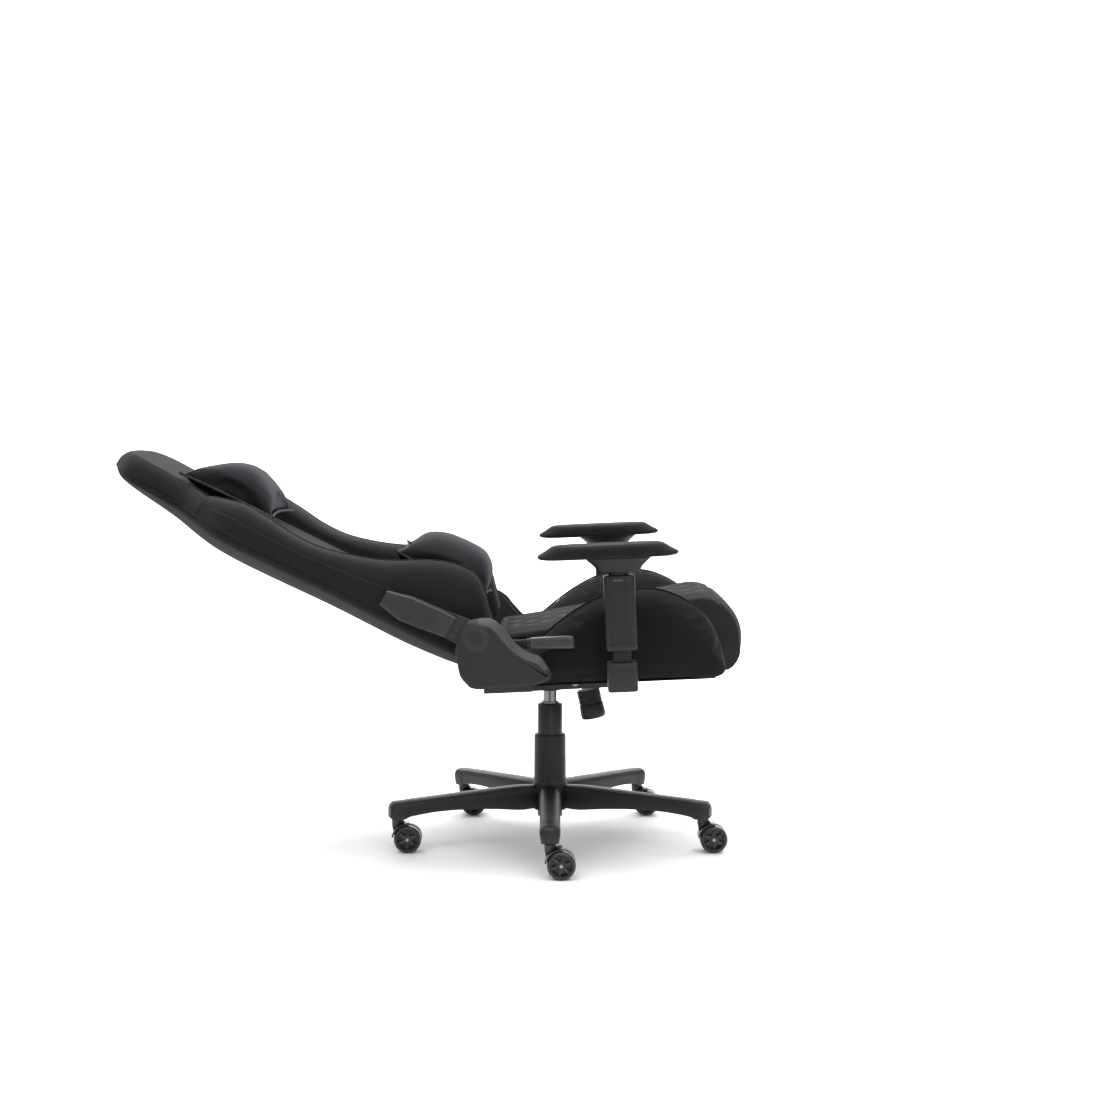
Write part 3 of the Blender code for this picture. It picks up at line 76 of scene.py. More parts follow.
def moulded(name, colour, roughness, grain=0.00025, depth=0.25, coat=0.0):
    """Moulded plastic: speckled grain, faint blotches of gloss and a painted highlight on sharp edges."""
    made = bpy.data.materials.new(name)
    made.use_nodes = True
    nodes, links = made.node_tree.nodes, made.node_tree.links
    shader = nodes["Principled BSDF"]
    shader.inputs["Coat Weight"].default_value = coat
    shader.inputs["Specular IOR Level"].default_value = 0.28
    shader.inputs["Coat Roughness"].default_value = 0.25
    place = nodes.new("ShaderNodeTexCoord")
    speck = nodes.new("ShaderNodeTexNoise")
    speck.inputs["Scale"].default_value = 1.0 / grain * 0.25
    speck.inputs["Detail"].default_value = 3
    blotch = nodes.new("ShaderNodeTexNoise")
    blotch.inputs["Scale"].default_value = 22
    blotch.inputs["Detail"].default_value = 4
    links.new(place.outputs["Object"], speck.inputs["Vector"])
    links.new(place.outputs["Object"], blotch.inputs["Vector"])
    gloss = nodes.new("ShaderNodeMapRange")
    gloss.inputs["To Min"].default_value = roughness - 0.07
    gloss.inputs["To Max"].default_value = roughness + 0.09
    links.new(blotch.outputs["Fac"], gloss.inputs["Value"])
    links.new(gloss.outputs["Result"], shader.inputs["Roughness"])
    # Painted highlight: sharp convex edges, found by pointiness, are painted lighter.
    geometry = nodes.new("ShaderNodeNewGeometry")
    edge_highlight_mask = nodes.new("ShaderNodeMapRange")
    edge_highlight_mask.inputs["From Min"].default_value = 0.515
    edge_highlight_mask.inputs["From Max"].default_value = 0.60
    links.new(geometry.outputs["Pointiness"], edge_highlight_mask.inputs["Value"])
    shade = nodes.new("ShaderNodeMix")
    shade.data_type = "RGBA"
    shade.inputs["A"].default_value = (*[c * 0.90 for c in colour], 1)
    shade.inputs["B"].default_value = (*[c * 1.12 for c in colour], 1)
    links.new(blotch.outputs["Fac"], shade.inputs["Factor"])
    painted_light = nodes.new("ShaderNodeMix")
    painted_light.data_type = "RGBA"
    painted_light.inputs["B"].default_value = (*[c * 1.9 + 0.01 for c in colour], 1)
    links.new(edge_highlight_mask.outputs["Result"], painted_light.inputs["Factor"])
    links.new(shade.outputs["Result"], painted_light.inputs["A"])
    links.new(painted_light.outputs["Result"], shader.inputs["Base Color"])
    bump = nodes.new("ShaderNodeBump")
    bump.inputs["Strength"].default_value = depth
    bump.inputs["Distance"].default_value = 0.0003
    links.new(speck.outputs["Fac"], bump.inputs["Height"])
    links.new(bump.outputs["Normal"], shader.inputs["Normal"])
    return made


def piece(name, mesh, finish, slot, body, *nodes, at=None, smooth=40.0):
    """Put a mesh into the scene with its finish, let it ride a body and stand for CAD nodes."""
    made = bpy.data.objects.new(name, mesh)
    bpy.context.scene.collection.objects.link(made)
    if at is not None:
        mesh.transform(at)
    mesh.materials.clear()
    mesh.materials.append(finish)
    mesh.shade_smooth()
    if smooth < 180:
        mesh.set_sharp_from_angle(angle=math.radians(smooth))
    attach(made, body)
    if nodes:
        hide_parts(*nodes)
    return made


def closed_mesh(bm):
    """Turn a bmesh into a mesh whose faces point out."""
    bmesh.ops.recalc_face_normals(bm, faces=bm.faces)
    if bm.calc_volume(signed=True) < 0:
        bmesh.ops.reverse_faces(bm, faces=bm.faces)
    mesh = bpy.data.meshes.new("piece")
    bm.to_mesh(mesh)
    bm.free()
    return mesh


def skin(rings, loops=False):
    """Skin a row of equal rings; the ends are capped unless the row closes on itself."""
    bm = bmesh.new()
    rows = [[bm.verts.new(point) for point in ring] for ring in rings]
    pairs = list(zip(rows, rows[1:]))
    if loops:
        pairs.append((rows[-1], rows[0]))
    else:
        bm.faces.new(rows[0])
        bm.faces.new(rows[-1])
    for one, two in pairs:
        for i in range(len(one)):
            j = (i + 1) % len(one)
            bm.faces.new((one[i], one[j], two[j], two[i]))
    return closed_mesh(bm)


def lathe(profile, sides=64):
    """Turn (radius, height) points about Z; a profile that ends on the axis closes in poles."""
    bm = bmesh.new()
    rows = []
    for radius, height in profile:
        if radius == 0:
            rows.append([bm.verts.new((0, 0, height))] * sides)
        else:
            angles = [2 * math.pi * i / sides for i in range(sides)]
            rows.append([bm.verts.new((radius * math.cos(a), radius * math.sin(a), height)) for a in angles])
    pairs = list(zip(rows, rows[1:]))
    if profile[0][0] != 0:
        pairs.append((rows[-1], rows[0]))
    for one, two in pairs:
        for i in range(sides):
            j = (i + 1) % sides
            corners = list(dict.fromkeys((one[i], one[j], two[j], two[i])))
            if len(corners) > 2:
                bm.faces.new(corners)
    return closed_mesh(bm)


def boolean(base, others, operation):
    """Join meshes to the base or cut them out of it."""
    target = bpy.data.objects.new("target", base)
    bpy.context.scene.collection.objects.link(target)
    helpers = []
    for other in others:
        helper = bpy.data.objects.new("helper", other)
        bpy.context.scene.collection.objects.link(helper)
        helpers.append(helper)
        modifier = target.modifiers.new("boolean", "BOOLEAN")
        modifier.operation = operation
        modifier.object = helper
    bpy.context.view_layer.update()
    result = bpy.data.meshes.new_from_object(target.evaluated_get(bpy.context.evaluated_depsgraph_get()))
    for item in [target] + helpers:
        bpy.data.objects.remove(item)
    return result


def rounded(mesh, width, segments=3, angle=30.0):
    """Round a mesh's sharp edges."""
    bm = bmesh.new()
    bm.from_mesh(mesh)
    bmesh.ops.remove_doubles(bm, verts=bm.verts, dist=0.00002)
    edges = [e for e in bm.edges if e.is_manifold and e.calc_face_angle(0) > math.radians(angle)]
    bmesh.ops.bevel(
        bm, geom=edges, offset=width, segments=segments, affect="EDGES", profile=0.5, clamp_overlap=True
    )
    return closed_mesh(bm)


def bar(low, high):
    """Box between two corners."""
    (x0, y0, z0), (x1, y1, z1) = low, high
    return skin([[(x0, y0, z), (x1, y0, z), (x1, y1, z), (x0, y1, z)] for z in (z0, z1)])


def turn(angle, axis="Z"):
    return Matrix.Rotation(math.radians(angle), 4, axis)


def shift(x, y, z):
    return Matrix.Translation((x, y, z))


def curve_through(points, count):
    """Evenly spread points on a Catmull-Rom curve through rows of numbers."""
    rows = np.array(points, float)
    padded_rows = np.vstack([2 * rows[0] - rows[1], rows, 2 * rows[-1] - rows[-2]])
    t = np.linspace(0, len(rows) - 1, count)
    i = np.minimum(t.astype(int), len(rows) - 2)
    s = (t - i)[:, None]
    a, b, c, d = (padded_rows[i + k] for k in range(4))
    return 0.5 * (2 * b + (c - a) * s + (2 * a - 5 * b + 4 * c - d) * s**2 + (3 * b - a - 3 * c + d) * s**3)


nylon = moulded("moulded nylon", (0.0095, 0.0095, 0.0100), 0.46)
base_low, base_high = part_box("star_base")
stem_circle = math.hypot(joint["caster_1_swivel"]["pos_m"][0] - column_x,
                         joint["caster_1_swivel"]["pos_m"][1])
hub_low, hub_top = base_low.z, base_high.z


column_bore_radius = 0.0253
stem_socket_radius, stem_socket_depth = 0.0058, 0.0275
rib_pocket_starts = (0.052, 0.104, 0.156, 0.208)
rib_pocket_length, rib_pocket_half, rib_pocket_depth = 0.045, 0.0125, 0.026


def arm_shape():
    """One arm along +X, with a crowned top and flat flanks."""
    tip = stem_circle + 0.016
    stations = curve_through(
        [
            (0.030, hub_low + 0.006, hub_top - 0.003, 0.038),
            (0.066, hub_low + 0.004, hub_top - 0.002, 0.044),
            (0.120, hub_low + 0.009, hub_top - 0.005, 0.043),
            (0.180, hub_low + 0.012, hub_top - 0.009, 0.041),
            (0.240, hub_low + 0.011, hub_top - 0.013, 0.039),
            (stem_circle - 0.026, hub_low + 0.005, hub_low + 0.0365, 0.0385),
            (stem_circle - 0.012, hub_low, hub_low + 0.0350, 0.0400),
            (stem_circle + 0.006, hub_low, hub_low + 0.0340, 0.0385),
            (tip - 0.003, hub_low + 0.001, hub_low + 0.0290, 0.0300),
            (tip, hub_low + 0.003, hub_low + 0.0240, 0.0230),
        ],
        46,
    )
    rings = []
    for x, low, high, width in stations:
        half, tall = width / 2, high - low
        ring = [(x, -half * 0.84, low), (x, half * 0.84, low)]
        for across, up in ((0.95, 0.35), (1.0, 0.62), (0.93, 0.80), (0.78, 0.92), (0.50, 0.985), (0.20, 1.0)):
            ring.append((x, half * across, low + tall * up))
        ring += [(x, -y, z) for _, y, z in reversed(ring[2:])]
        rings.append(ring)
    return skin(rings)


hub = lathe(
    [
        (0, hub_low),
        (0.0330, hub_low),
        (0.0355, hub_low + 0.002),
        (0.0365, hub_low + 0.010),
        (0.0360, hub_top - 0.010),
        (0.0355, hub_top - 0.003),
        (0.0340, hub_top - 0.0005),
        (0.0310, hub_top),
        (0, hub_top),
    ]
)
arms = []
pockets = []
for index in range(5):
    place = joint[f"caster_{index + 1}_swivel"]["pos_m"]
    angle = math.degrees(math.atan2(place[1], place[0] - column_x))
    arm = arm_shape()
    arm.transform(turn(angle))
    arms.append(arm)
    for start in rib_pocket_starts:
        pocket = bar((start, -rib_pocket_half, hub_low - 0.01),
                     (start + rib_pocket_length, rib_pocket_half, hub_low + rib_pocket_depth))
        pocket.transform(turn(angle))
        pockets.append(pocket)
    socket_top = hub_low + stem_socket_depth
    socket = lathe([(0, hub_low - 0.01), (stem_socket_radius, hub_low - 0.01),
                    (stem_socket_radius, socket_top),
                    (0, socket_top)], 24)
    socket.transform(turn(angle) @ shift(stem_circle, 0, 0))
    pockets.append(socket)
bore = lathe([(0, hub_low - 0.01), (column_bore_radius, hub_low - 0.01), (column_bore_radius, hub_top + 0.01),
              (0, hub_top + 0.01)], 48)
base_mesh = boolean(boolean(hub, arms, "UNION"), pockets + [bore], "DIFFERENCE")
piece("base_moulding", base_mesh, nylon, "black_nylon", "base", "star_base", at=shift(column_x, 0, 0),
      smooth=28)

# ------------------------------------------------------------------------------------------------
# Casters. Each is a glossy nylon body with a hood over two hard wheels that have six spokes and a
# bright hub cap. The stem is a steel pin pressed into the arm, and the axle is pressed through.
caster_gloss = moulded("caster nylon", (0.0100, 0.0100, 0.0105), 0.26, depth=0.10, coat=0.35)
wheel_radius = (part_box("caster_1_wheel_a")[1].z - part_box("caster_1_wheel_a")[0].z) / 2
wheel_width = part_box("caster_1_wheel_a")[1].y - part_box("caster_1_wheel_a")[0].y
axle_place = joint["caster_1_wheel_a"]["pos_m"]
trail = axle_place[0] - joint["caster_1_swivel"]["pos_m"][0]
wheel_gap = 2 * (axle_place[1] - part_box("caster_1_wheel_a")[1].y)


def spun_wheel():
    """Wheel lying on Z from 0 to its width, its spoked face on the far side."""
    w, r = wheel_width, wheel_radius
    tyre = lathe(
        [
            (r * 0.70, 0.001), (r - 0.0022, 0.0004), (r - 0.0006, 0.0016), (r, 0.004), (r, w - 0.0055),
            (r - 0.0008, w - 0.0028), (r - 0.0026, w - 0.0008), (r - 0.0046, w), (r * 0.76, w - 0.0002),
            (r * 0.70, w - 0.003),
        ],
        72,
    )
    web = lathe([(0.0036, 0.002), (r * 0.74, 0.002), (r * 0.74, w - 0.0048), (0.0036, w - 0.0030)], 60)
    cuts = []
    for k in range(6):
        outline = []
        for radius, spread, steps in ((r * 0.665, 21.0, 7), (r * 0.34, 13.0, 3)):
            row = [
                (radius * math.cos(math.radians(a)), radius * math.sin(math.radians(a)))
                for a in np.linspace(-spread, spread, steps)
            ]
            outline += row if not outline else row[::-1]
        cut = skin([[(x, y, z) for x, y in outline] for z in (0.0060, w + 0.01)])
        cut.transform(turn(60 * k + 30))
        cuts.append(cut)
    web = boolean(web, cuts, "DIFFERENCE")
    cap = lathe([(0.0036, 0.0021), (0.0074, 0.0021), (0.0074, w - 0.0020), (0.0066, w - 0.0008),
                 (0.0036, w - 0.0006)], 40)
    return boolean(tyre, [web, cap], "UNION")


def caster_shape():
    """Swivel body about the stem axis: web, arched hood, collar and axle boss."""
    top = hub_low - 0.001
    half = wheel_gap / 2 - 0.0007
    inner, outer = wheel_radius + 0.0014, wheel_radius + 0.0044

    def sweep(radius, start, end, steps):
        return [
            (trail + radius * math.cos(math.radians(a)), wheel_radius + radius * math.sin(math.radians(a)))
            for a in np.linspace(start, end, steps)
        ]

    hood_outline = sweep(outer, 84, 172, 24) + sweep(inner, 172, 84, 24)
    reach = wheel_gap / 2 + wheel_width * 0.90
    hood = rounded(skin([[(x, y, z) for x, z in hood_outline] for y in (-reach, reach)]), 0.0008, 2, 50)
    web_outline = [(-0.0095, top), (0.0105, top), (0.014, top - 0.005)] + sweep(0.0105, 60, -70, 12)
    web_outline += [(trail - 0.010, wheel_radius - 0.007), (-0.006, wheel_radius + 0.006),
                    (-0.0100, top - 0.012)]
    web = skin([[(x, y, z) for x, z in web_outline] for y in (-half, half)])
    collar = lathe([(0, top - 0.013), (0.0092, top - 0.013), (0.0108, top - 0.010), (0.0108, top - 0.001),
                    (0.0100, top), (0, top)], 40)
    return boolean(web, [hood, collar], "UNION")


steel_pin = bpy.data.materials.new("zinc plated steel")
steel_pin.use_nodes = True
pin_shader = steel_pin.node_tree.nodes["Principled BSDF"]
pin_shader.inputs["Base Color"].default_value = (0.42, 0.42, 0.44, 1)
pin_shader.inputs["Metallic"].default_value = 1.0
pin_noise = steel_pin.node_tree.nodes.new("ShaderNodeTexNoise")
pin_noise.inputs["Scale"].default_value = 260
pin_range = steel_pin.node_tree.nodes.new("ShaderNodeMapRange")
pin_range.inputs["To Min"].default_value = 0.22
pin_range.inputs["To Max"].default_value = 0.42
steel_pin.node_tree.links.new(pin_noise.outputs["Fac"], pin_range.inputs["Value"])
steel_pin.node_tree.links.new(pin_range.outputs["Result"], pin_shader.inputs["Roughness"])

wheel_shape = spun_wheel()
body_shape = caster_shape()
stem_shape = lathe([(0, hub_low - 0.012), (0.0054, hub_low - 0.012), (0.0054, hub_low + 0.0262),
                    (0, hub_low + 0.0268)], 24)
axle_reach = wheel_gap / 2 + wheel_width - 0.0002
for index in range(1, 6):
    stem = joint[f"caster_{index}_swivel"]["pos_m"]
    axle = joint[f"caster_{index}_wheel_a"]["pos_m"]
    body = f"caster_{index}"
    piece(f"caster_{index}_fork", body_shape.copy(), caster_gloss, "caster_plastic", body,
          f"caster_{index}_body",
          at=shift(stem[0], stem[1], 0), smooth=35)
    piece(f"caster_{index}_stem", stem_shape.copy(), steel_pin, "zinc_steel", body,
          at=shift(stem[0], stem[1], 0))
    pin = lathe([(0, -axle_reach), (0.0026, -axle_reach), (0.0031, -axle_reach + 0.0006),
                 (0.0031, axle_reach - 0.0006), (0.0026, axle_reach), (0, axle_reach)], 20)
    piece(f"caster_{index}_axle", pin, steel_pin, "zinc_steel", body, at=shift(*axle) @ turn(90, "X"))
    for letter, quarter, side in (("a", 90, -1), ("b", -90, 1)):
        spot = shift(axle[0], axle[1] + side * wheel_gap / 2, axle[2]) @ turn(quarter, "X") @ turn(17 * index)
        piece(f"caster_{index}_tread_{letter}", wheel_shape.copy(), caster_gloss, "caster_plastic",
              f"{body}_wheel_{letter}", f"caster_{index}_wheel_{letter}", at=spot, smooth=35)

# ------------------------------------------------------------------------------------------------
# Gas column. A black powder-coated steel tube stands in the hub's taper, a nylon sleeve covers its
# foot, and the dark chromed piston rod leaves it through a bush.
powder_coat = moulded("powder coated steel", (0.0100, 0.0100, 0.0105), 0.38, grain=0.0005, depth=0.35,
                      coat=0.15)
chrome = bpy.data.materials.new("chromed steel")
chrome.use_nodes = True
chrome_shader = chrome.node_tree.nodes["Principled BSDF"]
chrome_shader.inputs["Base Color"].default_value = (0.16, 0.16, 0.17, 1)
chrome_shader.inputs["Metallic"].default_value = 1.0
chrome_noise = chrome.node_tree.nodes.new("ShaderNodeTexNoise")
chrome_noise.inputs["Scale"].default_value = 90
chrome_range = chrome.node_tree.nodes.new("ShaderNodeMapRange")
chrome_range.inputs["To Min"].default_value = 0.06
chrome_range.inputs["To Max"].default_value = 0.16
chrome.node_tree.links.new(chrome_noise.outputs["Fac"], chrome_range.inputs["Value"])
chrome.node_tree.links.new(chrome_range.outputs["Result"], chrome_shader.inputs["Roughness"])

column_low, column_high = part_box("gas_column")
cover_low, cover_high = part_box("column_cover")
rod_low, rod_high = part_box("gas_rod")
bush_height = 0.0045
tube_top = column_high.z - bush_height
tube = lathe([(0.0150, column_low.z), (0.0244, column_low.z), (0.0250, column_low.z + 0.001),
              (0.0250, tube_top - 0.0015), (0.0240, tube_top), (0.0150, tube_top)])
piece("column_tube", tube, powder_coat, "black_steel", "base", "gas_column", at=shift(column_x, 0, 0),
      smooth=35)
bush = lathe([(0.0146, tube_top + 0.0002), (0.0178, tube_top + 0.0002), (0.0180, tube_top + 0.0010),
              (0.0180, tube_top + 0.0036), (0.0172, tube_top + bush_height),
              (0.0146, tube_top + bush_height)])
piece("column_bush", bush, chrome, "chrome", "base", at=shift(column_x, 0, 0), smooth=35)
foot_z, top_z = cover_low.z, cover_high.z
sleeve = lathe([(0.0254, foot_z), (0.0334, foot_z), (0.0336, foot_z + 0.0060), (0.0326, foot_z + 0.0100),
                (0.0322, foot_z + 0.0140), (0.0320, top_z - 0.0050), (0.0314, top_z - 0.0016),
                (0.0300, top_z),
                (0.0262, top_z), (0.0254, top_z - 0.0010)])
piece("column_sleeve", sleeve, nylon, "black_nylon", "base", "column_cover", at=shift(column_x, 0, 0),
      smooth=35)
rod_radius = (rod_high.x - rod_low.x) / 2
rod = lathe([(0, rod_low.z), (rod_radius - 0.001, rod_low.z), (rod_radius, rod_low.z + 0.001),
             (rod_radius, rod_high.z - 0.001), (rod_radius - 0.001, rod_high.z), (0, rod_high.z)], 64)
piece("piston_rod", rod, chrome, "chrome", "gas_lift", "gas_rod", at=shift(column_x, 0, 0), smooth=35)

# ------------------------------------------------------------------------------------------------
# Tilt mechanism. A pressed steel housing with its rocking pin, and under it a hand knob on the
# tension bolt: ribbed at the neck, smooth and slightly flared where the hand turns it.


def finish_part(finish, *names):
    """Give steel and plastic parts of the frame their finish."""
    for name in names:
        surfaces = frame["nodes"][name].data.materials
        surfaces.clear()
        surfaces.append(finish)


finish_part(powder_coat, "mechanism_housing", "seat_plate", "recline_bracket_right", "recline_bracket_left",
            "back_bracket_right", "back_bracket_left", "arm_bracket_right", "arm_bracket_left")
finish_part(steel_pin, "tilt_pin", "tilt_spring", "pivot_bolt_right", "pivot_bolt_left")
finish_part(nylon, "height_lever")

knob = joint["tension_knob_turn"]
knob_turned = Vector((0, 0, 1)).rotation_difference(Vector(knob["axis"])).to_matrix().to_4x4()
knob_place = shift(*knob["pos_m"]) @ knob_turned
length = 0.059
neck = length * 0.50


def knob_ring(height, radius, flute):
    """Ring of the grip, fluted all round by a little."""
    ring = []
    for i in range(120):
        angle = 2 * math.pi * i / 120
        r = radius - flute * max(0.0, math.cos(24 * angle)) ** 2
        ring.append((r * math.cos(angle), r * math.sin(angle), height))
    return ring


knob_rings = [knob_ring(-0.0001, 0.0222, 0)]
for k in range(7):
    z = -0.002 - k * (neck - 0.003) / 7
    knob_rings += [knob_ring(z, 0.0236, 0), knob_ring(z - 0.0016, 0.0236, 0),
                   knob_ring(z - 0.0024, 0.0222, 0),
                   knob_ring(z - 0.0034, 0.0222, 0)]
knob_rings += [knob_ring(-neck, 0.0236, 0), knob_ring(-neck - 0.001, 0.0242, 0.0002),
               knob_ring(-length + 0.012, 0.0250, 0.0006),
               knob_ring(-length + 0.004, 0.0248, 0.0005), knob_ring(-length + 0.001, 0.0232, 0.0002),
               knob_ring(-length, 0.0200, 0), knob_ring(-length + 0.0006, 0.0120, 0)]
grip = skin(knob_rings)
piece("tension_grip", grip, nylon, "black_nylon", "tension_knob", "tension_knob", at=knob_place, smooth=35)

# ------------------------------------------------------------------------------------------------
# Seat middle. A cut-foam cushion on a plastic pan, covered in charcoal cloth that is quilted in
# diamonds through a thin wadding, with plain strips beside the bolsters and a sewn nose.
seat_lean = math.degrees(math.atan2(joint["arm_height_right"]["axis"][0],
                                    joint["arm_height_right"]["axis"][2]))
seat_place = shift(*joint["seat_tilt"]["pos_m"]) @ turn(seat_lean, "Y")
middle_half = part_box("seat_cushion")[1].y


def cloth(name, colour, thread=0.0011, fleck=0.5, sheen=0.12, pattern=0.35, rough=0.86):
    """Upholstery cloth: crossed threads, flecks of lighter yarn, soft fading, painted shade in hollows and a
    painted highlight on crowns.
    """
    made = bpy.data.materials.new(name)
    made.use_nodes = True
    nodes, links = made.node_tree.nodes, made.node_tree.links
    shader = nodes["Principled BSDF"]
    shader.inputs["Sheen Weight"].default_value = sheen
    shader.inputs["Sheen Roughness"].default_value = 0.45
    shader.inputs["Specular IOR Level"].default_value = 0.10
    place = nodes.new("ShaderNodeTexCoord")
    threads = []
    for direction in ("X", "Y", "Z"):
        wave = nodes.new("ShaderNodeTexWave")
        wave.bands_direction = direction
        wave.inputs["Scale"].default_value = 0.314 / thread
        wave.inputs["Distortion"].default_value = 1.2
        wave.inputs["Detail"].default_value = 1
        wave.inputs["Detail Scale"].default_value = 2
        links.new(place.outputs["Object"], wave.inputs["Vector"])
        threads.append(wave)
    weave = nodes.new("ShaderNodeMath")
    weave.operation = "MAXIMUM"
    links.new(threads[0].outputs["Fac"], weave.inputs[0])
    links.new(threads[1].outputs["Fac"], weave.inputs[1])
    crossed = nodes.new("ShaderNodeMath")
    crossed.operation = "MULTIPLY_ADD"
    crossed.inputs[1].default_value = 0.5
    links.new(threads[2].outputs["Fac"], crossed.inputs[0])
    links.new(weave.outputs["Value"], crossed.inputs[2])
    yarn = nodes.new("ShaderNodeTexNoise")
    yarn.inputs["Scale"].default_value = 0.55 / thread
    yarn.inputs["Detail"].default_value = 2
    links.new(place.outputs["Object"], yarn.inputs["Vector"])
    fading = nodes.new("ShaderNodeTexNoise")
    fading.inputs["Scale"].default_value = 7
    fading.inputs["Detail"].default_value = 5
    links.new(place.outputs["Object"], fading.inputs["Vector"])
    flecks = nodes.new("ShaderNodeMapRange")
    flecks.inputs["From Min"].default_value = 0.48
    flecks.inputs["From Max"].default_value = 0.72
    flecks.inputs["To Max"].default_value = fleck
    links.new(yarn.outputs["Fac"], flecks.inputs["Value"])
    base = nodes.new("ShaderNodeMix")
    base.data_type = "RGBA"
    base.inputs["A"].default_value = (*[c * 0.82 for c in colour], 1)
    base.inputs["B"].default_value = (*[c * 1.22 for c in colour], 1)
    links.new(fading.outputs["Fac"], base.inputs["Factor"])
    spotted = nodes.new("ShaderNodeMix")
    spotted.data_type = "RGBA"
    spotted.inputs["B"].default_value = (*[c * 2.0 for c in colour], 1)
    links.new(flecks.outputs["Result"], spotted.inputs["Factor"])
    links.new(base.outputs["Result"], spotted.inputs["A"])
    # Painted light: hollows such as creases and stitched lines are painted darker as painted shade, and
    # convex crowns are painted lighter as a painted highlight.
    geometry = nodes.new("ShaderNodeNewGeometry")
    crease_shade_crown_highlight = nodes.new("ShaderNodeMapRange")
    crease_shade_crown_highlight.inputs["From Min"].default_value = 0.42
    crease_shade_crown_highlight.inputs["From Max"].default_value = 0.56
    crease_shade_crown_highlight.inputs["To Min"].default_value = 0.62
    crease_shade_crown_highlight.inputs["To Max"].default_value = 1.12
    links.new(geometry.outputs["Pointiness"], crease_shade_crown_highlight.inputs["Value"])
    painted_light = nodes.new("ShaderNodeVectorMath")
    painted_light.operation = "SCALE"
    links.new(spotted.outputs["Result"], painted_light.inputs[0])
    links.new(crease_shade_crown_highlight.outputs["Result"], painted_light.inputs["Scale"])
    links.new(painted_light.outputs["Vector"], shader.inputs["Base Color"])
    gloss = nodes.new("ShaderNodeMapRange")
    gloss.inputs["To Min"].default_value = rough - 0.08
    gloss.inputs["To Max"].default_value = min(1.0, rough + 0.08)
    links.new(fading.outputs["Fac"], gloss.inputs["Value"])
    links.new(gloss.outputs["Result"], shader.inputs["Roughness"])
    bump = nodes.new("ShaderNodeBump")
    bump.inputs["Strength"].default_value = pattern
    bump.inputs["Distance"].default_value = 0.0005
    links.new(crossed.outputs["Value"], bump.inputs["Height"])
    wrinkle = nodes.new("ShaderNodeTexNoise")
    wrinkle.inputs["Scale"].default_value = 34
    wrinkle.inputs["Detail"].default_value = 3
    links.new(place.outputs["Object"], wrinkle.inputs["Vector"])
    soft = nodes.new("ShaderNodeBump")
    soft.inputs["Strength"].default_value = 0.18
    soft.inputs["Distance"].default_value = 0.003
    links.new(wrinkle.outputs["Fac"], soft.inputs["Height"])
    links.new(soft.outputs["Normal"], bump.inputs["Normal"])
    links.new(bump.outputs["Normal"], shader.inputs["Normal"])
    return made


def even_path(points, step):
    """Points at an even step along a smooth curve through the given ones."""
    fine = curve_through(points, 40 * len(points))
    along = np.concatenate([[0], np.cumsum(np.linalg.norm(np.diff(fine, axis=0), axis=1))])
    wanted = np.linspace(0, along[-1], max(2, int(round(along[-1] / step)) + 1))
    return np.column_stack([np.interp(wanted, along, fine[:, k]) for k in range(fine.shape[1])]), wanted


def smooth_step(low, high, value):
    t = np.clip((value - low) / (high - low), 0, 1)
    return t * t * (3 - 2 * t)


def diamonds(across, along, wide, long):
    """Height of a quilt of diamonds: 1 on the puffed middles and 0 in the stitched lines."""
    u = across / wide + along / long
    v = across / wide - along / long
    scale = 1 / math.hypot(1 / wide, 1 / long)
    gap = np.minimum(np.abs(u - np.round(u)), np.abs(v - np.round(v))) * scale
    return 1 - np.exp(-((gap / 0.0055) ** 1.2))


def stitch_runs(paths, length=0.0042, gap=0.0022, radius=0.00045):
    """Short thread stitches laid along polylines, as one mesh."""
    bm = bmesh.new()
    for path in paths:
        path = np.array(path)
        along = np.concatenate([[0], np.cumsum(np.linalg.norm(np.diff(path, axis=0), axis=1))])
        for start in np.arange(0, along[-1] - length, length + gap):
            ends = [Vector([np.interp(start + d, along, path[:, k]) for k in range(3)]) for d in (0, length)]
            run = ends[1] - ends[0]
            if run.length < 1e-5:
                continue
            spin = Vector((0, 0, 1)).rotation_difference(run.normalized()).to_matrix().to_4x4()
            rows = []
            for t, r in ((0.0, 0.5), (0.15, 1.0), (0.85, 1.0), (1.0, 0.5)):
                row = []
                for k in range(5):
                    a = 2 * math.pi * k / 5
                    spot = Vector((radius * r * math.cos(a), radius * r * math.sin(a), 0))
                    row.append(bm.verts.new(ends[0] + run * t + spin @ spot))
                rows.append(row)
            for one, two in zip(rows, rows[1:]):
                for i in range(5):
                    bm.faces.new((one[i], one[(i + 1) % 5], two[(i + 1) % 5], two[i]))
            bm.faces.new(rows[0][::-1])
            bm.faces.new(rows[-1])
    return closed_mesh(bm)


def cord_tube(path, radius, sides=8, closed=False):
    """Round piping along a polyline."""
    points = [Vector(p) for p in path]
    rings = []
    count = len(points)
    for i, middle in enumerate(points):
        after = points[(i + 1) % count] if closed or i + 1 < count else points[i]
        before = points[i - 1] if closed or i > 0 else points[i]
        along = (after - before).normalized()
        out = along.cross(Vector((0, 0, 1)))
        if out.length < 0.2:
            out = along.cross(Vector((0, 1, 0)))
        out.normalize()
        up = along.cross(out)
        rings.append([
            middle + radius * (out * math.cos(2 * math.pi * k / sides)
                               + up * math.sin(2 * math.pi * k / sides))
            for k in range(sides)
        ])
    return skin(rings, loops=closed)


quilt_cloth = cloth("quilted charcoal cloth", (0.0175, 0.0165, 0.0178), fleck=0.55, sheen=0.06)
plain_cloth = cloth("plain black cloth", (0.0078, 0.0078, 0.0082), fleck=0.35, sheen=0.035, rough=0.80)
thread_cloth = cloth("sewing thread", (0.036, 0.035, 0.037), thread=0.0004, fleck=0.2, sheen=0.1, rough=0.6)

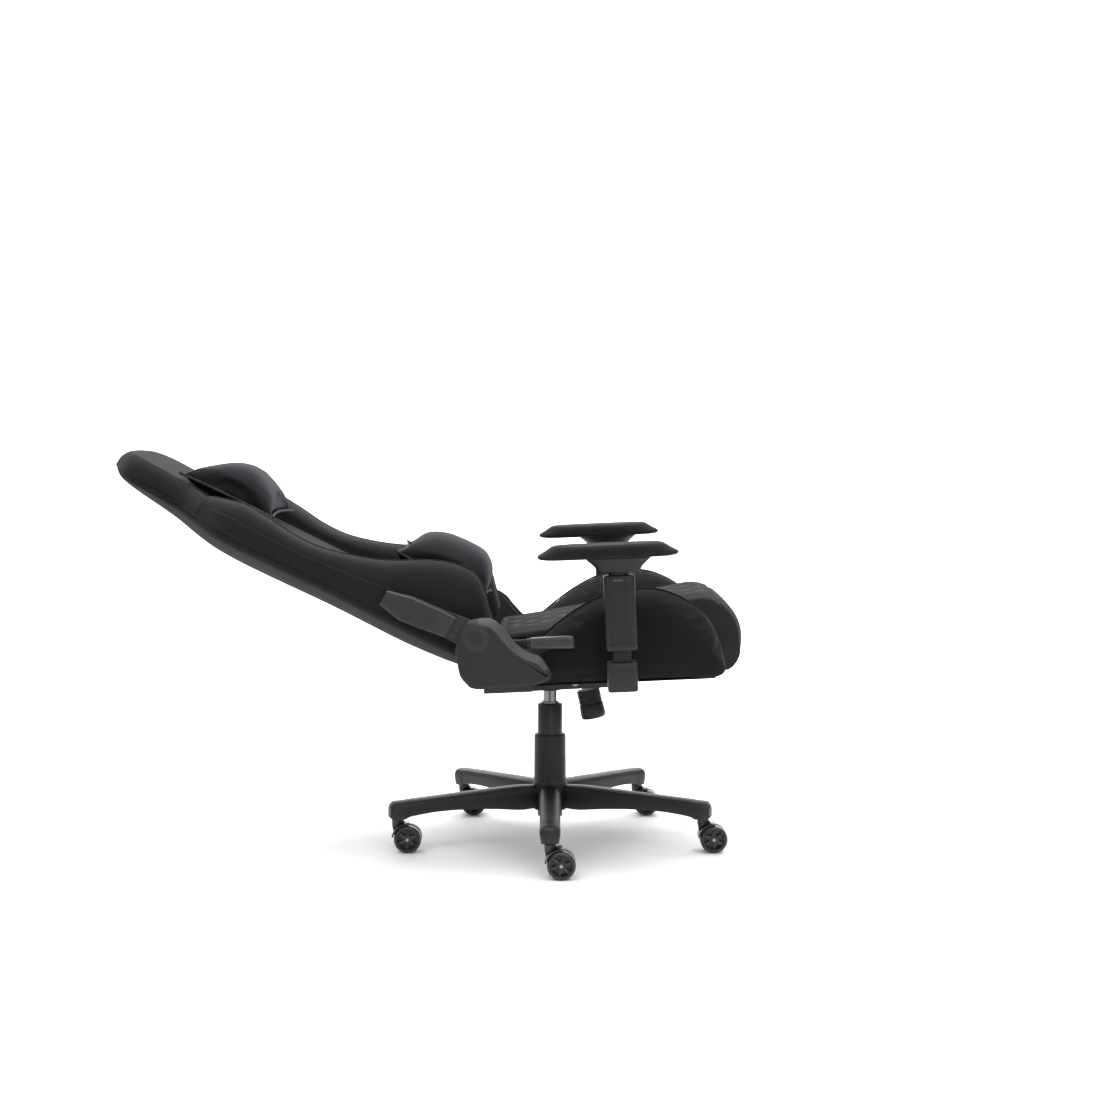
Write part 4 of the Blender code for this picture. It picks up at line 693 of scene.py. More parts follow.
cushion_foot = 0.0252
seat_profile = [
    (-0.1450, 0.0254), (-0.1472, 0.0450), (-0.1472, 0.0900), (-0.1450, 0.1090), (-0.1360, 0.1180),
    (-0.0900, 0.1235), (-0.0443, 0.1290), (0.0565, 0.1450), (0.1575, 0.1625), (0.2080, 0.1705),
    (0.2400, 0.1745), (0.2620, 0.1735), (0.2820, 0.1660), (0.3003, 0.1520), (0.3145, 0.1330),
    (0.3225, 0.1150), (0.3262, 0.0960), (0.3240, 0.0690), (0.3165, 0.0480), (0.3060, 0.0330),
    (0.2960, 0.0268), (0.2860, 0.0254),
]
profile, profile_run = even_path(seat_profile, 0.0021)
tangent = np.gradient(profile, axis=0)
tangent /= np.linalg.norm(tangent, axis=1)[:, None]
outward = np.column_stack([-tangent[:, 1], tangent[:, 0]])
nose_seam = float(profile_run[np.argmin(np.hypot(profile[:, 0] - 0.2860, profile[:, 1] - 0.1640))])
rear_seam = float(profile_run[np.argmin(np.hypot(profile[:, 0] + 0.1360, profile[:, 1] - 0.1180))])
bottom_run = np.linspace(profile[-1], profile[0], 40)[1:-1]
quilt_half = middle_half - 0.030
rings = []
for y in np.concatenate([[-middle_half, -middle_half + 0.0007],
                         np.linspace(-middle_half + 0.002, middle_half - 0.002, 149),
                         [middle_half - 0.0007, middle_half]]):
    edge = middle_half - abs(y)
    fall = 0.0065 * (1 - smooth_step(0, 0.030, edge)) + 0.0060 * (1 - math.sqrt(min(1, edge / 0.006))) ** 1.5
    inside = smooth_step(0.0, 0.004, quilt_half - abs(y))
    quilt = diamonds(np.full(len(profile), y), profile_run - nose_seam, 0.0780, 0.0620)
    in_panel = inside * smooth_step(rear_seam, rear_seam + 0.004,
                                    profile_run) * (1 - smooth_step(nose_seam - 0.004, nose_seam,
                                            profile_run))
    lift = -0.0042 * in_panel * (1 - quilt)
    lift -= 0.0030 * math.exp(-(((quilt_half - abs(y)) / 0.0032) ** 2)) * smooth_step(rear_seam - 0.02,
            rear_seam, profile_run) * (1 - smooth_step(nose_seam + 0.09, nose_seam + 0.12, profile_run))
    lift -= 0.0032 * np.exp(-(((profile_run - nose_seam) / 0.0032) ** 2))
    lift -= fall * smooth_step(0.05, 0.09, profile[:, 1])
    lift += 0.0015 * (1 - (y / middle_half) ** 2)
    ring = profile + outward * lift[:, None]
    ring[:, 1] = np.maximum(ring[:, 1], cushion_foot)
    whole = np.vstack([ring, bottom_run])
    rings.append([(x, y, z) for x, z in whole])
cushion = skin(rings)
seat_middle = piece("seat_middle", cushion, quilt_cloth, "quilted_fabric", "seat", "seat_cushion",
                    at=seat_place, smooth=180)

paths = []
spot = int(np.argmin(abs(profile_run - nose_seam + 0.0045)))
paths.append([(profile[spot, 0], y, profile[spot, 1] + 0.0009)
              for y in np.linspace(-quilt_half, quilt_half, 60)])
for side in (-1, 1):
    y = side * (quilt_half - 0.0045)
    rows = range(int(np.argmin(abs(profile_run - rear_seam))), spot, 4)
    paths.append([(profile[i, 0] + outward[i, 0] * 0.0003, y, profile[i, 1] + outward[i, 1] * 0.0003)
                  for i in rows])
piece("seat_stitches", stitch_runs(paths), thread_cloth, "quilted_fabric", "seat", at=seat_place, smooth=60)

lining = cloth("black underside lining", (0.012, 0.012, 0.012), thread=0.0007, fleck=0.15, sheen=0.02,
               pattern=0.2)
board_low, board_half = 0.0228, 0.2440
board = rounded(bar((-0.1580, -board_half, board_low), (0.2640, board_half, board_low + 0.0018)), 0.0006, 2)
piece("seat_board", board, lining, "black_nylon", "seat", "seat_pan", at=seat_place, smooth=35)

# ------------------------------------------------------------------------------------------------
# Seat bolsters. Two humps of firmer foam along the sides in plain black cloth, sewn from an inner
# and an outer panel with a welt along the ridge, and pulled tight under the pan.
bolster_rear, bolster_front = -0.1720, 0.2815
bolster_in, bolster_out = middle_half + 0.0006, 0.2612
ridge_line = [
    (-0.1720, 0.0800), (-0.1400, 0.0850), (-0.1025, 0.0900), (-0.0635, 0.1140), (-0.0246, 0.1432),
    (0.0140, 0.1679), (0.0524, 0.1865), (0.0904, 0.1962), (0.1280, 0.1993), (0.1655, 0.1950),
    (0.2025, 0.1800), (0.2390, 0.1540), (0.2604, 0.1250), (0.2740, 0.0880), (0.2815, 0.0500),
]
ridge_x = [p[0] for p in ridge_line]


def ridge_height(x):
    """Height of the bolster's ridge above the tilt pin."""
    i = min(max(int(np.searchsorted(ridge_x, x)) - 1, 0), len(ridge_line) - 2)
    before, here, there, after = (ridge_line[min(max(k, 0), len(ridge_line) - 1)]
                                  for k in (i - 1, i, i + 1, i + 2))
    t = (x - here[0]) / (there[0] - here[0])
    span = there[0] - here[0]
    m0 = (there[1] - before[1]) / max(there[0] - before[0], 1e-6) * span
    m1 = (after[1] - here[1]) / max(after[0] - here[0], 1e-6) * span
    return ((2 * t**3 - 3 * t**2 + 1) * here[1] + (t**3 - 2 * t**2 + t) * m0
            + (-2 * t**3 + 3 * t**2) * there[1] + (t**3 - t**2) * m1)


def closed_curve(points, count):
    """Smooth closed curve through points, kept by spreading a Catmull-Rom curve round the ring."""
    rows = np.array(points, float)
    n = len(rows)
    t = np.linspace(0, n, count, endpoint=False)
    i = t.astype(int) % n
    s = (t - t.astype(int))[:, None]
    a, b, c, d = rows[(i - 1) % n], rows[i], rows[(i + 1) % n], rows[(i + 2) % n]
    return 0.5 * (2 * b + (c - a) * s + (2 * a - 5 * b + 4 * c - d) * s**2 + (3 * b - a - 3 * c + d) * s**3)


def shaped_mesh(blank):
    """The mesh of an object with its modifiers carried out."""
    return bpy.data.meshes.new_from_object(blank.evaluated_get(bpy.context.evaluated_depsgraph_get()))


def inflated(mesh, voxel, pressure, cap):
    """Blow a closed soft form up a little as a sewn cover is, and let its cloth find its folds."""
    pad = bpy.data.objects.new("pad", mesh)
    bpy.context.scene.collection.objects.link(pad)
    remesh = pad.modifiers.new("voxels", "REMESH")
    remesh.mode = "VOXEL"
    remesh.voxel_size = voxel
    bpy.context.view_layer.update()
    start = shaped_mesh(pad)
    pad.modifiers.clear()
    pad.data = start
    count = len(start.vertices)
    before = np.empty(count * 3)
    start.vertices.foreach_get("co", before)
    rule = pad.modifiers.new("cloth", "CLOTH")
    rule.settings.use_pressure = True
    rule.settings.uniform_pressure_force = pressure
    rule.settings.effector_weights.gravity = 0
    rule.settings.quality = 5
    rule.settings.tension_stiffness = 18
    rule.settings.shrink_min = -0.02
    rule.collision_settings.use_collision = False
    for step in range(1, 21):
        bpy.context.scene.frame_set(step)
    result = shaped_mesh(pad)
    pad.modifiers.clear()
    bpy.context.scene.frame_set(1)
    after = np.empty(count * 3)
    result.vertices.foreach_get("co", after)
    move = (after - before).reshape(-1, 3)
    far = np.linalg.norm(move, axis=1)
    move *= np.minimum(1, cap / np.maximum(far, 1e-9))[:, None]
    result.vertices.foreach_set("co", (before.reshape(-1, 3) + move).ravel())
    result.update()
    pad.data = result
    finer = pad.modifiers.new("finer", "SUBSURF")
    finer.levels = finer.render_levels = 1
    bpy.context.view_layer.update()
    done = shaped_mesh(pad)
    bpy.data.objects.remove(pad)
    return done


def bolster_section(x, margin=0.0):
    """Closed (y, z) ring of the bolster at x; the ends are drawn in to round them."""
    end = min(x - bolster_rear, bolster_front - x)
    draw = 0.018 * (1 - math.sqrt(min(1.0, max(end, 0.0) / 0.030))) ** 1.4
    ridge = ridge_height(x) - margin
    low = cushion_foot + 0.0004 + draw * 0.6
    rise = max(ridge - low, 0.012)
    inner, outer = bolster_in + margin * 0.3 + draw * 0.5, bolster_out - margin - draw
    return closed_curve(
        [
            (inner + 0.004, low), (inner, low + 0.06 * rise), (inner, low + 0.34 * rise),
            (inner, low + 0.64 * rise),
            (inner + 0.010, low + 0.85 * rise), (inner + 0.028, low + 0.965 * rise),
            (inner + 0.050, low + rise),
            (outer - 0.026, low + 0.955 * rise), (outer - 0.010, low + 0.80 * rise),
            (outer - 0.0015, low + 0.55 * rise),
            (outer, low + 0.33 * rise), (outer - 0.004, low + 0.10 * rise), (outer - 0.012, low),
            (outer - 0.045, low),
        ],
        72,
    )


for name, side in (("right", -1), ("left", 1)):
    rings = []
    stations = np.concatenate([bolster_rear + 0.0005 + 0.03 * np.linspace(0, 1, 12, endpoint=False) ** 2,
                               np.linspace(bolster_rear + 0.0305, bolster_front - 0.0305, 90),
                               bolster_front - 0.0005 - 0.03 * np.linspace(1, 0, 12, endpoint=False) ** 2])
    for x in stations:
        rings.append([(x, side * y, z) for y, z in bolster_section(x, 0.0030)])
    hump = inflated(skin(rings), 0.0055, 3.0, 0.0035)
    bolster = piece(f"bolster_{name}", hump, plain_cloth, "plain_fabric", "seat", f"seat_bolster_{name}",
                    at=seat_place, smooth=180)
    welt = []
    for x in np.linspace(bolster_rear + 0.012, bolster_front - 0.007, 110):
        section = bolster_section(x)
        welt.append((x, side * section[33, 0], section[33, 1] + 0.0002))
    piece(f"bolster_welt_{name}", cord_tube(welt, 0.0017), plain_cloth, "plain_fabric", "seat", at=seat_place,
          smooth=180)

# ------------------------------------------------------------------------------------------------
# Recline hinge covers. Two black ABS mouldings a side hide the steel recliner plates: one is
# screwed to the seat and has a broad slanted band along its top edge, the other follows the back.
# The band is painted a lighter grey: a painted highlight on its upward-facing slant.
abs_black = moulded("textured ABS", (0.0135, 0.0135, 0.0142), 0.50, grain=0.0004, depth=0.35)
# Lighter copy of the cover plastic for the slanted band: a painted highlight where the band faces up.
painted_highlight_band = moulded("ABS band with painted highlight", (0.046, 0.0465, 0.045), 0.40, grain=0.0004, depth=0.25)
pivot = joint["recline"]["pos_m"]
pivot_in_seat = seat_place.inverted() @ Vector(pivot)
px, pz = pivot_in_seat.x, pivot_in_seat.z
cover_face = -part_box("recline_cover_right")[0].y
cover_root = 0.2853


def eased(loop, passes=2, keep=0.18):
    """Cut the corners of a closed outline so that they turn softly."""
    for _ in range(passes):
        cut_loop = []
        for i, here in enumerate(loop):
            before, after = loop[i - 1], loop[(i + 1) % len(loop)]
            cut_loop.append(tuple(h + (b - h) * keep for h, b in zip(here, before)))
            cut_loop.append(tuple(h + (a - h) * keep for h, a in zip(here, after)))
        loop = cut_loop
    return loop


# Each corner: forward and up from the pivot, then how far the slanted edge reaches in and drops.
cover_corners = [
    (-0.0150, 0.0332, 0.0040, 0.0025), (0.0100, 0.0379, 0.0130, 0.0075), (0.0289, 0.0359, 0.0150, 0.0085),
    (0.0451, 0.0233, 0.0150, 0.0085), (0.0561, 0.0073, 0.0150, 0.0085), (0.0740, -0.0148, 0.0150, 0.0085),
    (0.0948, -0.0301, 0.0150, 0.0085), (0.1183, -0.0383, 0.0150, 0.0085), (0.1369, -0.0702, 0.0080, 0.0045),
    (0.1340, -0.0819, 0.0050, 0.0030), (0.1039, -0.0928, 0.0040, 0.0025), (0.0610, -0.0932, 0.0035, 0.0022),
    (-0.0127, -0.0955, 0.0035, 0.0022), (-0.0341, -0.0699, 0.0035, 0.0022),
    (-0.0386, -0.0411, 0.0035, 0.0022),
    (-0.0411, -0.0171, 0.0035, 0.0022), (-0.0291, 0.0110, 0.0035, 0.0022),
]
soft_corners = eased(cover_corners, 2, 0.16)
count = len(soft_corners)
outline = np.array([(px + x, pz + z) for x, z, _, _ in soft_corners])
centre = outline.mean(axis=0)
along_edge = np.roll(outline, -1, axis=0) - np.roll(outline, 1, axis=0)
along_edge /= np.linalg.norm(along_edge, axis=1)[:, None]
inward = np.column_stack([-along_edge[:, 1], along_edge[:, 0]])
inward *= np.sign(np.sum(inward * (centre - outline), axis=1))[:, None]
reach = np.array([c[2] for c in soft_corners])
drop = np.array([c[3] for c in soft_corners])

for name, side in (("right", -1), ("left", 1)):
    root = [(x, side * cover_root, z) for x, z in outline]
    edge = [(x, side * (cover_face - d - 0.0008), z) for (x, z), d in zip(outline, drop)]
    lip = [(x, side * (cover_face - d), z) for (x, z), d in zip(outline + inward * 0.0009, drop)]
    crest = [(x, side * (cover_face - 0.0007), z) for (x, z) in outline + inward * (reach - 0.0008)[:, None]]
    face = [(x, side * (cover_face - 0.0002), z) for x, z in outline + inward * (reach + 0.0006)[:, None]]
    flat = [(x, side * (cover_face - 0.0002), z) for x, z in outline + inward * (reach + 0.0040)[:, None]]
    shell = skin([root, edge, lip, crest, face, flat])
    shell.transform(seat_place)
    piece(f"seat_hinge_cover_{name}", shell, abs_black, "black_cover", "seat", f"recline_cover_{name}",
          smooth=24)
    # The faces of the slanted band take the lighter material, a painted highlight.
    shell.materials.append(painted_highlight_band)
    corners = np.array([v.co for v in shell.vertices])
    for polygon in shell.polygons:
        rows = {v // count for v in polygon.vertices}
        columns = [v % count for v in polygon.vertices]
        if rows == {2, 3} and min(reach[c] for c in columns) > 0.009:
            polygon.material_index = 1
    skirt = [(x, z) for x, z in outline if z < pz - 0.052]
    skirt = [(px + 0.121, pz - 0.0525)] + skirt + [(px - 0.0365, pz - 0.0525)]
    middle_point = np.mean(skirt, axis=0)
    skirt = [tuple(middle_point + (np.array(p) - middle_point) * 0.985) for p in skirt]
    foot = skin([[(x, side * y, z) for x, z in skirt] for y in (0.2701, cover_root + 0.002)])
    piece(f"seat_hinge_skirt_{name}", foot, abs_black, "black_cover", "seat", at=seat_place, smooth=30)
    ring = lathe([(0.0236, -0.0012), (0.0262, -0.0012), (0.0262, 0.0004), (0.0257, 0.0010), (0.0241, 0.0010),
                  (0.0236, 0.0004)], 72)
    quarter = 90 if side < 0 else -90
    on_face = seat_place @ shift(px, side * (cover_face - 0.0002), pz) @ turn(quarter, "X")
    piece(f"pivot_ring_{name}", ring, abs_black, "black_cover", "seat", at=on_face, smooth=35)
    cap = lathe([(0, -0.001), (0.0225, -0.001), (0.0225, 0.0003), (0.0216, 0.0009), (0.0100, 0.0013),
                 (0, 0.0014)], 72)
    piece(f"pivot_cap_{name}", cap, abs_black, "black_cover", "seat", at=on_face, smooth=35)
    for x, z in ((0.0210, -0.0500),):
        head = lathe([(0, -0.002), (0.0034, -0.002), (0.0034, 0.0002), (0.0028, 0.0008), (0.0013, 0.0010),
                      (0.0012, -0.0004), (0, -0.0005)], 24)
        spot = seat_place @ shift(px + x, side * (cover_face - 0.0002), pz + z) @ turn(quarter, "X")
        piece(f"cover_screw_{name}", head, powder_coat, "black_steel", "seat", at=spot, smooth=35)

back_lean = -61.0
back_place = shift(*pivot) @ turn(back_lean, "Y")
for name, side in (("right", -1), ("left", 1)):
    thin_loop = [(0.0285 * math.cos(math.radians(a)), 0.0285 * math.sin(math.radians(a)))
                 for a in np.linspace(190, 350, 24)]
    thin_loop += [(0.0150, 0.0860), (0.0095, 0.1416), (-0.0035, 0.1880), (-0.0325, 0.1850), (-0.0405, 0.1450),
                  (-0.0290, 0.0680)]
    thin = skin([[(v, side * y, u) for v, u in thin_loop] for y in (0.2744, 0.2841)])
    rings = []
    # Up the back: height, rear and front edge, outer face at the rear and front edge.
    for u, rear, front, face_rear, face_front in (
        (0.0515, -0.0268, 0.0150, 0.2905, 0.2935), (0.0535, -0.0276, 0.0152, 0.2920, 0.2950),
        (0.0860, -0.0318, 0.0146, 0.2965, 0.2978), (0.0880, -0.0322, 0.0143, 0.2967, 0.2978),
        (0.1400, -0.0396, 0.0092, 0.2950, 0.2968), (0.1420, -0.0399, 0.0090, 0.2947, 0.2966),
        (0.1850, -0.0332, -0.0022, 0.2868, 0.2885), (0.1880, -0.0310, -0.0040, 0.2855, 0.2870),
    ):
        rings.append([(rear, side * 0.2760, u), (front, side * 0.2760, u),
                      (front + 0.0003, side * (face_front - 0.0030), u),
                      (front - 0.0020, side * (face_front - 0.0006), u),
                      (front - 0.0045, side * face_front, u),
                      (rear + 0.0045, side * face_rear, u), (rear + 0.0020, side * (face_rear - 0.0006), u),
                      (rear - 0.0003, side * (face_rear - 0.0030), u)])
    arm = skin(rings)
    shell = boolean(thin, [arm], "UNION")
    hole = lathe([(0, 0.26), (0.0120, 0.26), (0.0120, 0.32), (0, 0.32)], 32)
    hole.transform(turn(-90 if side > 0 else 90, "X"))
    shell = boolean(shell, [hole], "DIFFERENCE")
    piece(f"back_hinge_cover_{name}", shell, abs_black, "black_cover", "backrest",
          f"back_bracket_cover_{name}", at=back_place, smooth=20)

# ------------------------------------------------------------------------------------------------
# Recline lever. A steel stub on the sitter's right with a pale grey moulded grip pushed over it
# against a small collar.
grip_grey = moulded("grey lever plastic", (0.036, 0.036, 0.039), 0.34, grain=0.0004, depth=0.15, coat=0.1)
lever_at = joint["recline_lever_lift"]["pos_m"]
lever_y = -0.2735
lever_place = shift(lever_at[0], 0, lever_at[2]) @ turn(seat_lean, "Y")


def oval(x, y, z, half_y, half_z, power=3.2, sides=36):
    """Ring across X with soft square corners."""
    ring = []
    for k in range(sides):
        a = 2 * math.pi * k / sides
        c, s = math.cos(a), math.sin(a)
        ring.append((x, y + half_y * math.copysign(abs(c) ** (2 / power), c),
                     z + half_z * math.copysign(abs(s) ** (2 / power), s)))
    return ring


stub = boolean(
    skin([oval(-0.0070, lever_y, 0.001, 0.0020, 0.0070), oval(0.0, lever_y, 0.001, 0.0020, 0.0075),
          oval(0.050, lever_y, 0.001, 0.0020, 0.0070), oval(0.056, lever_y, 0.001, 0.0020, 0.0065)]),
    [skin([oval(0.0395, lever_y, 0.0005, 0.0046, 0.0088), oval(0.0402, lever_y, 0.0005, 0.0052, 0.0094),
           oval(0.0445, lever_y, 0.0005, 0.0052, 0.0094), oval(0.0452, lever_y, 0.0005, 0.0046, 0.0088)])],
    "UNION",
)
pin = lathe([(0, 0), (0.0039, 0), (0.0039, 0.008), (0, 0.008)], 24)
pin.transform(shift(0, lever_y, 0) @ turn(-90, "X"))
piece("lever_stub", boolean(stub, [pin], "UNION"), powder_coat, "black_steel", "recline_lever",
      at=lever_place, smooth=35)
grip_rings = []
for x, half_y, half_z, dz in ((0.0456, 0.0050, 0.0085, 0.0005), (0.0460, 0.0058, 0.0098, 0.0005),
                              (0.0475, 0.0065, 0.0105, 0.0004),
                              (0.0520, 0.0069, 0.0109, 0.0002), (0.0700, 0.0073, 0.0113, 0.0),
                              (0.0900, 0.0075, 0.0116, 0.0),
                              (0.1100, 0.0075, 0.0120, -0.0002), (0.1190, 0.0073, 0.0120, -0.0004),
                              (0.1240, 0.0068, 0.0115, -0.0008),
                              (0.1268, 0.0058, 0.0103, -0.0013), (0.1280, 0.0042, 0.0085, -0.0018),
                              (0.1284, 0.0022, 0.0060, -0.0020)):
    grip_rings.append(oval(x, lever_y, dz, half_y, half_z, 4.0))
piece("lever_grip", skin(grip_rings), grip_grey, "lever_grey", "recline_lever", "recline_lever",
      at=lever_place, smooth=50)

# ------------------------------------------------------------------------------------------------
# Backrest shell. A steel hoop inside moulded foam: the plain rear cover is zipped on behind, and
# a welt runs where it meets the side wings and the head section.
back_length = 0.783
frame_front, frame_slope = -0.0280, -0.0350
cloth_to_frame = 0.0102
rear_table = [
    (-0.030, -0.0855), (0.000, -0.0900), (0.060, -0.0969), (0.150, -0.1039), (0.240, -0.1065),
    (0.330, -0.1092),
    (0.420, -0.1135), (0.520, -0.1180), (0.610, -0.1208), (0.700, -0.1187), (0.800, -0.1090),
    (0.900, -0.0996),
    (0.960, -0.0920), (0.988, -0.0850),
]
width_table = [
    (-0.040, -0.0300), (0.020, -0.0080), (0.080, 0.0000), (0.250, -0.0020), (0.380, -0.0120), (0.500, 0.0000),
    (0.600, 0.0060), (0.670, -0.0060), (0.740, -0.0560), (0.790, -0.0950), (0.840, -0.1100), (0.900, -0.1130),
    (0.930, -0.1180), (0.950, -0.1280), (0.965, -0.1430), (0.980, -0.1660), (0.990, -0.1850),
    (1.000, -0.2050),
]
centre_table = [
    (-0.040, 0.0080), (0.060, 0.0140), (0.180, 0.0120), (0.280, -0.0080), (0.380, -0.0280), (0.500, -0.0360),
    (0.620, -0.0340), (0.740, -0.0290), (0.830, -0.0250), (0.950, -0.0265), (0.985, -0.0340),
    (1.000, -0.0480),
]
wing_table = [
    (-0.040, 0.0280), (0.000, 0.0493), (0.030, 0.0734), (0.060, 0.0925), (0.090, 0.0990), (0.140, 0.0939),
    (0.190, 0.0782), (0.290, 0.0350), (0.410, 0.0034), (0.490, -0.0033), (0.580, 0.0020), (0.640, 0.0030),
    (0.690, -0.0080), (0.740, -0.0220),
]


def table_value(table, t):
    """Value of a table at t along a smooth Hermite curve with central-difference slopes, held at the end rows
    outside the table.
    """
    xs = [row[0] for row in table]
    i = min(max(int(np.searchsorted(xs, t)) - 1, 0), len(table) - 2)

    def slope(k):
        if k == 0:
            return (table[1][1] - table[0][1]) / (table[1][0] - table[0][0])
        if k == len(table) - 1:
            return (table[-1][1] - table[-2][1]) / (table[-1][0] - table[-2][0])
        return (table[k + 1][1] - table[k - 1][1]) / (table[k + 1][0] - table[k - 1][0])

    (x0, y0), (x1, y1) = table[i], table[i + 1]
    span = x1 - x0
    s = min(max((t - x0) / span, 0), 1)
    return ((2 * s**3 - 3 * s**2 + 1) * y0 + (s**3 - 2 * s**2 + s) * span * slope(i)
            + (-2 * s**3 + 3 * s**2) * y1 + (s**3 - s**2) * span * slope(i + 1))


def back_half(share):
    return 0.262 + table_value(width_table, share)


def frame_line(share):
    return frame_front + frame_slope * share


wing_cloth = cloth("plain dark grey cloth", (0.0110, 0.0109, 0.0120), fleck=0.40, sheen=0.045, rough=0.82)
shares = np.concatenate([[-0.0300, -0.0296, -0.0285, -0.026], np.linspace(-0.020, 0.968, 110),
                         [0.974, 0.979, 0.9825, 0.9845, 0.985]])
rings = []
welt_sides = {-1: [], 1: []}
for share in shares:
    end = min((share + 0.030) * back_length, (0.985 - share) * back_length)
    draw = 1 - math.sqrt(min(1.0, max(end, 0.0) / 0.012))
    half = back_half(share) - 0.0042 - 0.004 * draw
    front = frame_line(share) - cloth_to_frame
    rear = table_value(rear_table, share)
    rear += (front - rear) * 0.22 * draw
    depth = front - rear
    ring = closed_curve(
        [(-half * 0.5, front), (-half + 0.012, front), (-half, front - 0.02 * depth),
         (-half - 0.0005, front - 0.12 * depth),
         (-half * 0.975, front - 0.26 * depth), (-half * 0.90, rear + 0.60 * depth),
         (-half * 0.74, rear + 0.36 * depth),
         (-half * 0.45, rear + 0.13 * depth), (0, rear), (half * 0.45, rear + 0.13 * depth),
         (half * 0.74, rear + 0.36 * depth),
         (half * 0.90, rear + 0.60 * depth), (half * 0.975, front - 0.26 * depth),
         (half + 0.0005, front - 0.12 * depth),
         (half, front - 0.02 * depth), (half - 0.012, front), (half * 0.5, front)],
        96,
    )
    rings.append([(v, y, share * back_length) for y, v in ring])
    for side in (-1, 1):
        welt_sides[side].append((front + 0.0004, side * (half + 0.0012), share * back_length))
shell = piece("back_shell", skin(rings), wing_cloth, "plain_fabric", "backrest", "back_rear_cover",
              at=back_place, smooth=180)
path = welt_sides[-1][2:-1] + welt_sides[1][2:-1][::-1]
piece("back_welt", cord_tube(path, 0.0019), plain_cloth, "plain_fabric", "backrest", at=back_place,
      smooth=180)

# ------------------------------------------------------------------------------------------------
# Backrest middle and head. The sitter's side is quilted like the seat up to the neck, where the
# plain head section widens out and rounds over the top.
centre_low, neck = -0.0290, 0.735
rings = []
across = np.concatenate([[-1, -0.998], np.linspace(-0.990, 0.990, 147), [0.998, 1]])
rows_up = np.arange(centre_low * back_length, neck * back_length, 0.0021)
panel_half = middle_half - 0.024
for z in rows_up:
    share = z / back_length
    front = table_value(centre_table, share)
    rear = frame_line(share) + cloth_to_frame
    row = []
    for a in across:
        y = a * middle_half
        edge = middle_half - abs(y)
        inside = float(smooth_step(0.0, 0.004, panel_half - abs(y)))
        puff = diamonds(np.array([y]), np.array([z - 0.40]), 0.0780, 0.0620)[0]
        level = -0.0042 * inside * (1 - puff) - 0.0030 * math.exp(-(((panel_half - abs(y)) / 0.0032) ** 2))
        level -= 0.0060 * (1 - float(smooth_step(0, 0.028, edge))) + 0.0060 * (1
                - math.sqrt(min(1, edge / 0.006))) ** 1.5
        level += 0.0010 * (1 - a * a)
        foot_fall = 0.010 * (1 - math.sqrt(min(1.0, (z - rows_up[0]) / 0.014)))
        row.append((max(front + level - foot_fall, rear + 0.004), y, z))
    row += [(rear + 0.0002, middle_half * a, z) for a in np.linspace(1, -1, 20)]
    rings.append(row)
quilted_back = piece("back_middle", skin(rings), quilt_cloth, "quilted_fabric", "backrest", "back_pad",
                     at=back_place, smooth=180)

rings = []
head_low = neck + 0.0012
for share in np.concatenate([[head_low], np.linspace(head_low + 0.0006, 0.975, 60),
                             0.975 + 0.0248 * np.sin(np.linspace(0.12, 1, 12) * math.pi / 2)]):
    half = back_half(share) - 0.0022
    rear = frame_line(share) - cloth_to_frame + 0.0006
    front = table_value(centre_table, share)
    start = min(1.0, (share - head_low) / 0.012)
    front -= 0.006 * (1 - math.sqrt(max(start, 0.0)))
    depth = max(front - rear, 0.006)
    ring = closed_curve(
        [(-half + 0.010, rear), (-half, rear + 0.06 * depth), (-half - 0.0006, rear + 0.34 * depth),
         (-half + 0.003, rear + 0.66 * depth),
         (-half + 0.014, rear + 0.90 * depth), (-half + 0.034, rear + 0.985 * depth),
         (0, rear + 1.01 * depth),
         (half - 0.034, rear + 0.985 * depth), (half - 0.014, rear + 0.90 * depth),
         (half - 0.003, rear + 0.66 * depth),
         (half + 0.0006, rear + 0.34 * depth), (half, rear + 0.06 * depth), (half - 0.010, rear), (0, rear)],
        84,
    )
    rings.append([(v, y, share * back_length) for y, v in ring])
head = piece("head_section", skin(rings), wing_cloth, "plain_fabric", "backrest", at=back_place, smooth=180)

